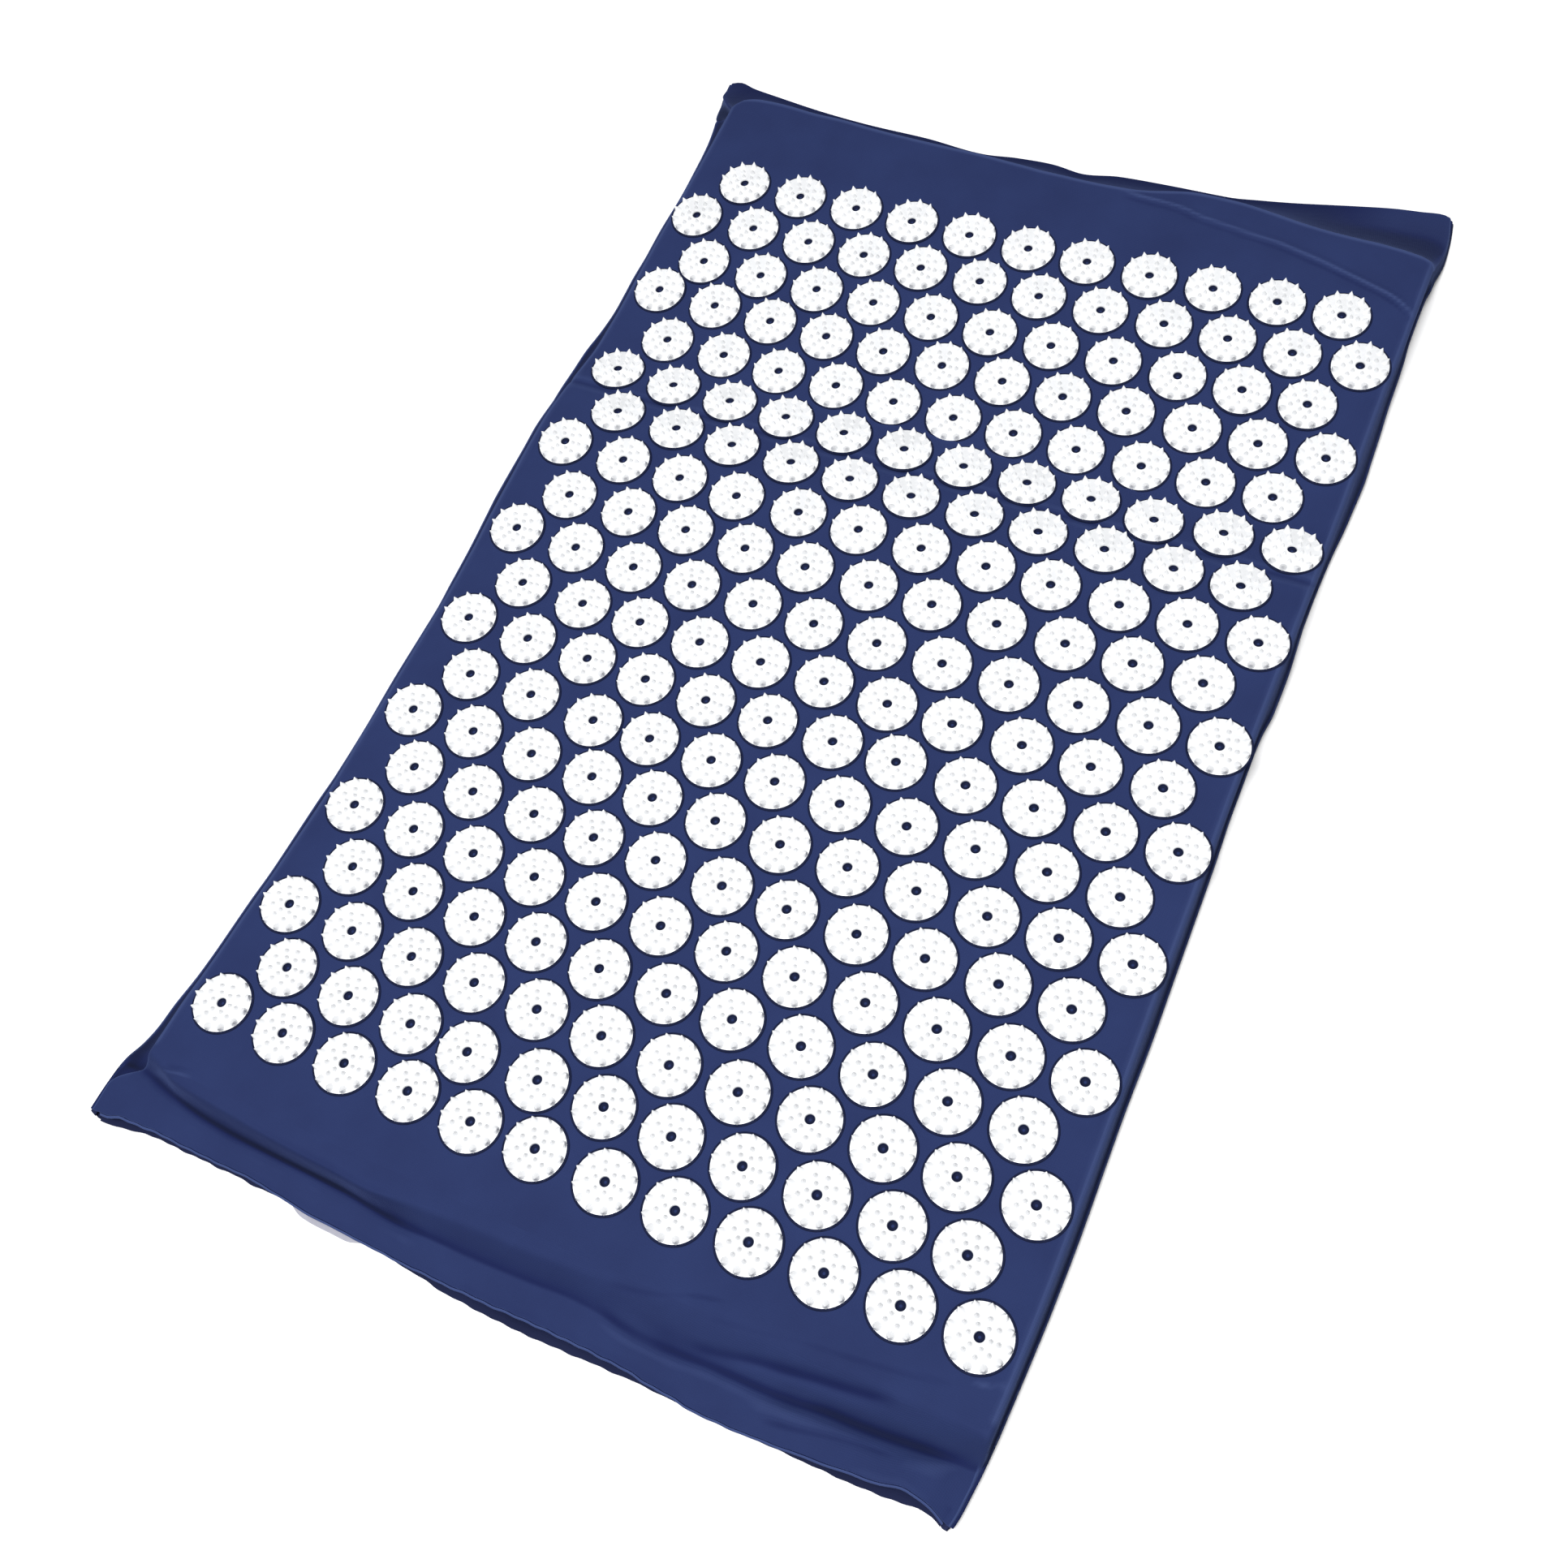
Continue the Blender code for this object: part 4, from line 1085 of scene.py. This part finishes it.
def upper_painted_light(grid, normals):
    """Painted light of the upper panel, highlight above 0 and shade below: by its bends, slopes, walls and
    folds.
    """
    x = grid[..., 0]
    y = grid[..., 1]
    start = curve(SLOPE_POINTS, x)
    below_start = ease((start + SLOPE_HIGHLIGHT_LEAD - y) / SLOPE_HIGHLIGHT_FADE)
    on_slope = below_start * ease((y - curve(FOOT_POINTS, x)) / FOOT_HIGHLIGHT_FADE)
    total = bends(grid, normals)
    total = np.where(total > 0, total * (1 - SLOPE_HIGHLIGHT_CUT_SHARE * on_slope), total)
    total = total + slope_painted_shade(x, y) + flap_painted_light(x, y)
    total = total + ridge(x, y, RIM_POINTS, RIM_HIGHLIGHT_SHARE, RIM_HIGHLIGHT_WIDTH)
    for strength, width, line in PAINTED_LIGHT_LINES:
        total = total + ridge(x, y, line, strength, width)
    corner_lines = (CORNER_RIDGE, below(CORNER_RIDGE, CORNER_SHADOW * CORNER_LINE_PLACE_SHARE))
    for line, strength, width in zip(corner_lines, CORNER_LIGHT_SHADE_SHARES, CORNER_LIGHT_SHADE_WIDTHS):
        total = total + ridge(x, y, line, strength, width)
    # Painted shade on the side walls
    side = len(WALL_SHADE_SHARES)
    total[:, :side] -= WALL_SHADE_SHARES
    total[:, -side:] -= WALL_SHADE_SHARES[::-1]
    return total


def build_upper_cover():
    rows = [lip_section(share) for share in np.linspace(1.0, 0.0, LIP_ROWS)]
    hinge_row = len(rows) - 1
    rows += [body_section(y) for y in lines_between(HINGE_Y, CLOSE_ZONE_Y, STEP_LIP)[1:]]
    rows += [body_section(y) for y in body_lines(CLOSE_ZONE_Y)[1:]]
    rows += [end_body_section(share) for share in steps_to_one(END_ROWS)]
    rows += [flap_section(kind, share) for kind, share in flap_rows()]
    grid = np.stack(rows)
    normals = grid_normals(grid)
    painted_tones = upper_painted_light(grid, normals)
    middle = grid.shape[1] // 2
    panels = []
    for name, rows, columns in (
        ("cover_upper", slice(hinge_row, None), slice(None)),
        ("lip_left", slice(0, hinge_row + 1), slice(0, middle + 1)),
        ("lip_right", slice(0, hinge_row + 1), slice(middle, None)),
    ):
        part = (rows, columns)
        panels.append(cloth(name, grid[part], COTTON, normals=normals[part], painted_tones=painted_tones[part]))
    return panels


# Lower panel

def lower_section(seam_y, seam_z, y_of, floor_of):
    """Outer face of the lower panel at one row, from its left seam to its right seam."""
    left = float(curve(LEFT_SEAM_POINTS, seam_y)) + LOWER_INSET
    right = float(curve(RIGHT_SEAM_POINTS, seam_y)) - LOWER_INSET
    xs = np.linspace(left + TOE, right - TOE, round(EDGE / STEP_X))
    side = np.array(TOE_SHARES)
    turn = np.array(TOE_TURN_IN)
    x = np.concatenate([left + turn, left + TOE * side, xs, right - TOE * side[::-1], right - turn[::-1]])
    toe = np.concatenate([np.full(len(turn), seam_z + TOE_TURN_UP), seam_z * (1 - side) ** 2])
    lift = np.concatenate([toe, np.zeros_like(xs), toe[::-1]])
    y = y_of(x)
    return np.stack([x, y, floor_of(x, y) + lift], axis=1)


def floor_height(x, y):
    """Height of the lower panel's outer face: it touches the floor but under the raised far end."""
    y = np.asarray(y, float)
    raised = np.maximum(0.0, lie(y))
    return raised * (1 - ease((y - SETTLE_Y) / SETTLE_LENGTH))


def lip_floor(x, y):
    """Height of the lower lip's outer face, which waves a little off the floor."""
    near = ease((lower_edge(x) + LIP_LIFT_LENGTH - y) / LIP_LIFT_LENGTH)
    return near * (LIP_LIFT + LIP_LIFT_WAVE * np.sin(x * 2 * math.pi / LIP_LIFT_WAVE_LENGTH))


def build_lower_cover():
    rows = []
    for share in np.linspace(1.0, 0.0, LOWER_LIP_ROWS):
        def lip_y(x, share=share):
            return lerp(HINGE_Y, lower_edge(x), share)

        rows.append(lower_section(lerp(HINGE_Y, LOWER_LIP_Y, share), LOWER_LIP_Z, lip_y, lip_floor))
    rows += [lower_section(y, LOWER_SEAM_Z, level(y), floor_height) for y in body_lines(HINGE_Y)[1:]]
    for share in steps_to_one(LOWER_END_ROWS):
        def end_y(x, share=share):
            return lerp(END_ZONE_Y, curve(END_EDGE_POINTS, x), share)

        seam_z = lerp(LOWER_SEAM_Z, LOWER_END_Z, share)
        rows.append(lower_section(lerp(END_ZONE_Y, LOWER_END_Y, share), seam_z, end_y, floor_height))
    return cloth("cover_lower", np.stack(rows), SHADED_LOWER_COTTON, upper=False)


# Foam, seams, hems and tapes

def foam_ends(y):
    """Left and right end of the foam at y; it follows the cover's right side."""
    return -FOAM_HALF, min(FOAM_HALF, float(curve(RIGHT_EDGE_POINTS, y)) - FOAM_SIDE_GAP)


def build_foam():
    top = []
    bottom = []
    rows = [(y, 0.0) for y in body_lines(FOAM_NEAR)]
    rows += [(END_ZONE_Y, share) for share in steps_to_one(FOAM_END_ROWS)]
    for y, share in rows:
        left, right = foam_ends(y)
        xs = np.linspace(left, right, FOAM_COLUMNS)
        cut = np.maximum(0.0, FOAM_CUT - np.minimum(xs - left, right - xs))
        end = np.minimum(FOAM_FAR, curve(RIM_POINTS, xs) - FOAM_END_GAP)
        ys = lerp(y, end, share)
        high = TOP - FOAM_TOP_GAP + lie(ys) - cut
        low = floor_height(xs, np.minimum(ys, FOAM_LEVEL_Y)) + FOAM_BOTTOM_GAP
        top.append(np.stack([xs, ys, high], axis=1))
        bottom.append(np.stack([xs, ys, low], axis=1))
    return shell("foam_core", np.stack(top), np.stack(bottom), FOAM, crisp=True)


def build_side_seam(name, ends_of, low, high):
    """A strip of the two sewn plies inside the cover, along one side."""
    end = lines_between(END_ZONE_Y, FOAM_FAR - PLIES_END_GAP, STEP_Y)[1:]
    ys = np.concatenate([body_lines(FOAM_NEAR), end])
    top = []
    bottom = []
    for y in ys:
        xs = np.linspace(*ends_of(y), SIDE_PLIES_COLUMNS)
        rise = float(floor_height(0.0, min(y, FOAM_LEVEL_Y)))
        top.append(np.stack([xs, np.full_like(xs, y), np.full_like(xs, rise + high)], axis=1))
        bottom.append(np.stack([xs, np.full_like(xs, y), np.full_like(xs, rise + low)], axis=1))
    return shell(name, np.stack(top), np.stack(bottom), SHADED_LOWER_COTTON, crisp=True)


def left_seam_ends(y):
    outer = float(curve(LEFT_SEAM_POINTS, y)) + LEFT_PLIES_IN
    return outer, min(outer + LEFT_PLIES_WIDTH, -FOAM_HALF - PLIES_GAP)


def right_seam_ends(y):
    inner = foam_ends(y)[1] + PLIES_GAP
    return inner, inner + RIGHT_PLIES_WIDTH


def build_end_seam():
    xs = np.linspace(*END_PLIES_SPAN, END_PLIES_COLUMNS)
    rows = []
    for share in (0.0, 0.5, 1.0):
        ys = curve(END_EDGE_POINTS, xs) - lerp(*END_PLIES_REACH, share)
        rows.append(np.stack([xs, ys, np.full_like(xs, END_Z - CLOTH - END_PLIES_GAP)], axis=1))
    return cloth("end_seam_plies", np.stack(rows), SHADED_LOWER_COTTON, END_PLIES_THICKNESS)


def lip_patch(xs, reach, count, edge_of, height_of):
    """Points on a face of one lip, in rows by their distance in from its edge."""
    rows = []
    for inset in np.linspace(*reach, count):
        ys = edge_of(xs) + inset
        rows.append(np.stack([xs, ys, height_of(xs, ys)], axis=1))
    return np.stack(rows)


def lower_lip_top(x, y):
    return lip_floor(x, y) + CLOTH


def halves(span, columns):
    """Left and right half of a span across the mat, which share their middle place."""
    xs = np.linspace(*span, columns)
    middle = len(xs) // 2
    return (("left", xs[:middle + 1]), ("right", xs[middle:]))


def lifted(points, height):
    return points + np.array([0.0, 0.0, height])


def build_upper_hem():
    """The folded edge of the upper lip in two halves that meet in the middle."""
    pieces = []
    for side, xs in halves(UPPER_HEM_SPAN, HEM_COLUMNS):
        patch = lip_patch(xs, UPPER_HEM_REACH, HEM_ROWS, upper_edge, top_height)
        normals = grid_normals(patch)
        under = patch - normals * (CLOTH + PLY_GAP)
        centre = patch[0] - normals[0] * HEM_ROLL_RADIUS
        back = unit(patch[1] - patch[0])
        roll = []
        for turn in np.linspace(math.pi / 2, -math.pi / 2, HEM_ROLL_STEPS)[:-1]:
            up = normals[0] * HEM_ROLL_RADIUS * math.sin(turn)
            roll.append(centre + up - back * HEM_ROLL_RADIUS * math.cos(turn))
        outer = np.stack(roll + list(under - normals * CLOTH))
        inner = [centre + (point - centre) * HEM_ROLL_INNER_SHARE for point in roll]
        pieces.append(shell("upper_hem_" + side, np.stack(inner + list(under)), outer, HEM_COTTON))
    return pieces


def build_lower_hem():
    xs = np.linspace(*LOWER_HEM_SPAN, HEM_COLUMNS)
    patch = lip_patch(xs, LOWER_HEM_REACH, HEM_ROWS, lower_edge, lower_lip_top)
    low = lifted(patch, PLY_GAP + HEM_LIFT)
    high = lifted(low, CLOTH)
    high[0, :, 2] -= HEM_DIP
    return shell("lower_hem", high, low, SHADED_LOWER_COTTON)


def build_upper_tape():
    pieces = []
    for side, xs in halves(TAPE_SPAN, TAPE_COLUMNS):
        patch = lip_patch(xs, HOOK_REACH, TAPE_ROWS, upper_edge, top_height)
        normals = grid_normals(patch)
        high = patch - normals * (2 * CLOTH + 3 * PLY_GAP)
        pieces.append(shell("hook_strip_" + side, high, high - normals * TAPE_THICKNESS, HOOKS))
    return pieces


def build_lower_tape():
    xs = np.linspace(*TAPE_SPAN, TAPE_COLUMNS)
    patch = lip_patch(xs, LOOP_REACH, TAPE_ROWS, lower_edge, lower_lip_top)
    low = lifted(patch, 2 * PLY_GAP + HEM_LIFT + CLOTH)
    return shell("loop_strip", lifted(low, TAPE_THICKNESS), low, LOOPS)


def build_label():
    """A blank label sewn to the lower lip; a sliver of it shows under the upper lip's edge."""
    xs = np.linspace(LABEL_LEFT, LABEL_RIGHT, LABEL_COLUMNS)
    corners = ease((xs - LABEL_LEFT) / LABEL_CORNER), ease((LABEL_RIGHT - xs) / LABEL_CORNER)
    outer = upper_edge(xs) - LABEL_REACH * corners[0] * corners[1]
    rows = []
    for share in np.linspace(0.0, 1.0, LABEL_ROWS):
        ys = outer + share * LABEL_LENGTH
        droop = LABEL_DROOP * (1 - share) ** 2
        rows.append(np.stack([xs, ys, lip_floor(xs, ys) + CLOTH + LABEL_GAP - droop], axis=1))
    low = np.stack(rows)
    return shell("label", lifted(low, LABEL_THICKNESS), low, LABEL)


# Discs

def ring_points(radius, height, segments, centre=(0.0, 0.0), turn=0.0):
    angles = np.arange(segments) * 2 * math.pi / segments + turn
    x = centre[0] + radius * np.cos(angles)
    y = centre[1] + radius * np.sin(angles)
    return np.stack([x, y, np.full(segments, height)], axis=1)


def ring_faces(first, second, segments):
    faces = []
    for index in range(segments):
        after = (index + 1) % segments
        faces.append((first + index, first + after, second + after, second + index))
    return faces


def turned(outline):
    """A closed ring turned from a closed outline of (radius, height) points."""
    verts = [ring_points(radius, height, DISC_SEGMENTS) for radius, height in outline]
    faces = []
    for ring in range(len(outline)):
        after = (ring + 1) % len(outline)
        faces += ring_faces(ring * DISC_SEGMENTS, after * DISC_SEGMENTS, DISC_SEGMENTS)
    return np.concatenate(verts), faces


def disc_plate():
    """The round plate on its smaller foot, with a rounded rim and a collar round its hole."""
    collar = DISC_PLATE + COLLAR_RISE
    return turned((
        (DISC_FOOT, 0.0), (DISC_FOOT, DISC_RAISE), (DISC_RADIUS - DISC_UNDERCUT, DISC_RAISE),
        (DISC_RADIUS, DISC_RAISE + DISC_RIM_STEP), (DISC_RADIUS, DISC_PLATE - DISC_BEVEL),
        (DISC_RADIUS - DISC_RIM_WIDTH, DISC_PLATE), (HOLE_RADIUS + COLLAR_FOOT, DISC_PLATE),
        (HOLE_RADIUS + COLLAR_OUTER, collar), (HOLE_RADIUS + COLLAR_INNER, collar),
        (HOLE_RADIUS, DISC_PLATE), (HOLE_RADIUS, 0.0),
    ))


def hole_glue_and_shade():
    """The dark glue that shows down in the hole, round a bare spot of cloth; it also paints the shade down
    in the hole.
    """
    outer = HOLE_RADIUS - HOLE_GLUE_SHADE_GAP
    return turned((
        (outer, 0.0), (outer, HOLE_GLUE_SHADE_HEIGHT), (HOLE_RADIUS - HOLE_GLUE_SHADE_TOP, HOLE_GLUE_SHADE_HEIGHT),
        (HOLE_RADIUS - HOLE_GLUE_SHADE_FOOT, HOLE_GLUE_SHADE_STEP), (BARE_RADIUS, BARE_HEIGHT), (BARE_RADIUS, 0.0),
    ))


def rim_glue_and_shadow():
    """The dark line of glue and pressed cloth round the plate, which also paints the contact shadow there.
    """
    return turned((
        (DISC_FOOT, 0.0), (GLUE_SHADOW_RADIUS, 0.0), (GLUE_SHADOW_RADIUS, GLUE_SHADOW_LOW), (GLUE_SHADOW_RADIUS - GLUE_SHADOW_EDGE, GLUE_SHADOW_HIGH),
        (DISC_FOOT, GLUE_SHADOW_HIGH),
    ))


def spike(place, foot, tip_place, turn):
    """A pointed spike with a wide foot."""
    tip = np.array([*tip_place, SPIKE_TIP])
    low = DISC_PLATE - DISC_BEVEL
    levels = []
    for rise, width in SPIKE_PROFILE_SHARES:
        centre = lerp(np.array(place), tip[:2], rise)
        levels.append(ring_points(foot * width, lerp(low, SPIKE_TIP, rise), SPIKE_SIDES, centre, turn))
    faces = []
    for level_index in range(len(levels) - 1):
        faces += ring_faces(level_index * SPIKE_SIDES, (level_index + 1) * SPIKE_SIDES, SPIKE_SIDES)
    last = (len(levels) - 1) * SPIKE_SIDES
    for index in range(SPIKE_SIDES):
        faces.append((last + index, last + (index + 1) % SPIKE_SIDES, last + SPIKE_SIDES))
    faces.append(tuple(range(SPIKE_SIDES - 1, -1, -1)))
    return np.concatenate([*levels, tip[None, :]]), faces


def disc_template():
    """Points and faces of one disc, and for each face whether it is dark glue with painted shade."""
    parts = [(disc_plate(), 0), (hole_glue_and_shade(), 1), (rim_glue_and_shadow(), 1)]
    for count, radius, tip_radius, foot in SPIKE_CIRCLES:
        for index in range(count):
            angle = 2 * math.pi * index / count
            direction = np.array([math.cos(angle), math.sin(angle)])
            parts.append((spike(direction * radius, foot, direction * tip_radius, angle), 0))
    verts = []
    faces = []
    kinds = []
    start = 0
    for (part_verts, part_faces), kind in parts:
        verts.append(part_verts)
        faces += [tuple(start + index for index in face) for face in part_faces]
        kinds += [kind] * len(part_faces)
        start += len(part_verts)
    return np.concatenate(verts), faces, kinds


def surface_frame(x, y):
    """Place on the cloth and the two tangents and normal there."""
    step = TANGENT_STEP
    here = np.array([x, y, float(top_height(x, y))])
    slope_x = float(top_height(x + step, y) - top_height(x - step, y)) / (2 * step)
    slope_y = float(top_height(x, y + step) - top_height(x, y - step)) / (2 * step)
    normal = unit(np.array([-slope_x, -slope_y, 1.0]))
    along = unit(np.cross(normal, np.array([1.0, 0.0, 0.0])))
    across = np.cross(along, normal)
    return here, across, along, normal


def row_y(row):
    if row <= ROWS_FAR:
        return FIRST_ROW + (ROWS_FAR - row) * ROW_STEP
    return -FIRST_ROW - (row - ROWS_FAR - 1) * ROW_STEP


def disc_place(row, index, count, numbers):
    """Where a disc sits: an even pattern that has shifted a little as the cloth was glued."""
    x = (index - (count - 1) / 2) * PITCH
    y = row_y(row)
    side = x / ROW_HALF
    shift_points, stray = (LEFT_SHIFT_POINTS, LEFT_STRAY) if x < 0 else (RIGHT_SHIFT_POINTS, RIGHT_STRAY)
    shift = lerp(float(curve(MIDDLE_SHIFT_POINTS, y)), float(curve(shift_points, y)), side * side)
    at_end = float(ease((abs(side) - STRAY_START_SHARE) / (1 - STRAY_START_SHARE)))
    sway = float(curve(SWAY_POINTS, y)) + side * float(curve(STRETCH_POINTS, y)) - stray * at_end
    stray_x, stray_y = STRAY_DISCS.get((row, index), (0.0, 0.0))
    wander_x, wander_y = numbers.normal(0, DISC_WANDER, 2)
    return x + sway + stray_x + wander_x, y + shift + stray_y + wander_y


def build_discs(row, template, numbers):
    count = SHORT_ROW if row % 2 else LONG_ROW
    verts, faces, kinds = template
    all_verts = []
    all_faces = []
    for index in range(count):
        x, y = disc_place(row, index, count, numbers)
        place, across, along, normal = surface_frame(x, y)
        spin = numbers.normal(0, DISC_SPIN)
        turned_x = verts[:, 0] * math.cos(spin) - verts[:, 1] * math.sin(spin)
        turned_y = verts[:, 0] * math.sin(spin) + verts[:, 1] * math.cos(spin)
        points = place + turned_x[:, None] * across + turned_y[:, None] * along
        points = points + (verts[:, 2] + DISC_SEAT)[:, None] * normal
        all_faces += [tuple(index * len(verts) + corner for corner in face) for face in faces]
        all_verts.append(points)
    obj = make_object(f"discs_row_{row:02d}", np.concatenate(all_verts), all_faces, DISC_PLASTIC)
    obj.data.materials.append(GLUE_AND_SHADE)
    obj.data.polygons.foreach_set("material_index", kinds * count)
    obj.data.set_sharp_from_angle(angle=SHARP_ANGLE)
    return obj


# Building the mat

def fold_with(obj):
    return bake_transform(obj)


def open_with(obj, side):
    """Bakes the lip piece's transform into its mesh."""
    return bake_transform(obj)


def build_mat():
    main, left_lip, right_lip = build_upper_cover()
    lower = build_lower_cover()
    foam = build_foam()
    left_seam = build_side_seam("side_seam_left", left_seam_ends, *LEFT_PLIES_HEIGHTS)
    right_seam = build_side_seam("side_seam_right", right_seam_ends, *RIGHT_PLIES_HEIGHTS)
    end_seam = build_end_seam()
    for obj in (main, lower, foam, left_seam, right_seam):
        fold_with(obj)
    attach(end_seam, "far_section")
    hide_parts("cover_top_near", "cover_top_far")
    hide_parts("cover_bottom_near", "cover_bottom_far")
    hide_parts("foam_core_near", "foam_core_far")
    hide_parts("side_seam_left_near", "side_seam_left_far")
    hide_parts("side_seam_right_near", "side_seam_right_far")
    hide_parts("end_seam")

    upper_hems = build_upper_hem()
    hooks = build_upper_tape()
    for pieces, node, name in (
        ((left_lip, right_lip), "mouth_flap", "cotton_upper"), (upper_hems, "mouth_flap_hem", "cotton_hem"),
        (hooks, "hook_tape", "hook_nylon"),
    ):
        for obj, side in zip(pieces, ("left", "right")):
            open_with(obj, side)
            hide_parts(node)

    lower_hem = build_lower_hem()
    loops = build_lower_tape()
    label = build_label()
    for obj, node, name in (
        (lower_hem, "mouth_lower_hem", "cotton_hem"), (loops, "loop_tape", "loop_nylon"),
        (label, "care_label", "label_satin"),
    ):
        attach(obj, "near_section")
        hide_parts(node)

    template = disc_template()
    numbers = np.random.default_rng(SEED)
    for row in range(1, ROWS_FAR + ROWS_NEAR + 1):
        obj = build_discs(row, template, numbers)
        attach(obj, "far_section" if row <= ROWS_FAR else "near_section")
        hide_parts(f"rosette_row_{row:02d}")


# Stage

def floor_material():
    """Bright for the camera and white far out, darker for the light that bounces onto the mat."""
    material, tree, shader = node_material("floor")
    camera_ray = tree.nodes.new("ShaderNodeLightPath").outputs["Is Camera Ray"]
    colour = mix_colours(tree, camera_ray, *FLOOR_COLOURS)
    tree.links.new(colour, shader.inputs["Base Color"])
    set_inputs(shader, Roughness=1.0, Specular_IOR_Level=0.0, Emission_Color=(*WHITE, 1.0))
    reach = tree.nodes.new("ShaderNodeVectorMath")
    reach.operation = "LENGTH"
    tree.links.new(tree.nodes.new("ShaderNodeNewGeometry").outputs["Position"], reach.inputs[0])
    far_out = spread(tree, reach.outputs["Value"], FLOOR_FADE_START, FLOOR_FADE_END)
    tree.links.new(multiply(tree, far_out, camera_ray), shader.inputs["Emission Strength"])
    material.cycles.emission_sampling = "NONE"
    return material


def build_stage():
    corners = np.array([(x, y, 0.0) for x, y in ((-1, -1), (1, -1), (1, 1), (-1, 1))]) * FLOOR_HALF
    verts = corners - np.array([FOLD_X, FOLD_Y, FLOOR_GAP])
    make_object("floor", verts, [(0, 1, 2, 3)], floor_material(), False)


def area_light(name, place, size, power):
    """A round lamp that points at the middle of the mat."""
    data = bpy.data.lights.new(name, "AREA")
    data.shape = "DISK"
    data.size = size
    data.energy = power
    obj = bpy.data.objects.new(name, data)
    bpy.context.scene.collection.objects.link(obj)
    obj.location = place
    obj.rotation_euler = (-Vector(place)).to_track_quat("-Z", "Y").to_euler()


def build_lights():
    area_light("key", KEY_PLACE, KEY_SIZE, KEY_POWER)
    area_light("fill", FILL_PLACE, FILL_SIZE, FILL_POWER)
    world = bpy.context.scene.world or bpy.data.worlds.new("world")
    bpy.context.scene.world = world
    world.use_nodes = True
    tree = world.node_tree
    background = tree.nodes["Background"]
    path = tree.nodes.new("ShaderNodeLightPath")
    mix = mix_colours(tree, path.outputs["Is Camera Ray"], *SKY_COLOURS)
    tree.links.new(mix, background.inputs["Color"])
    background.inputs["Strength"].default_value = 1.0


def build_camera():
    data = bpy.data.cameras.new("camera")
    data.lens = LENS_MM
    data.sensor_width = SENSOR_MM
    data.clip_start = CLIP_START
    camera = bpy.data.objects.new("camera", data)
    bpy.context.scene.collection.objects.link(camera)
    turn = Matrix((CAMERA_RIGHT, CAMERA_UP, CAMERA_BACK)).transposed()
    camera.rotation_euler = turn.to_euler()
    camera.location = CAMERA_PLACE
    bpy.context.scene.camera = camera


build_mat()
build_stage()
build_lights()
build_camera()
bpy.context.scene.view_settings.view_transform = "Standard"
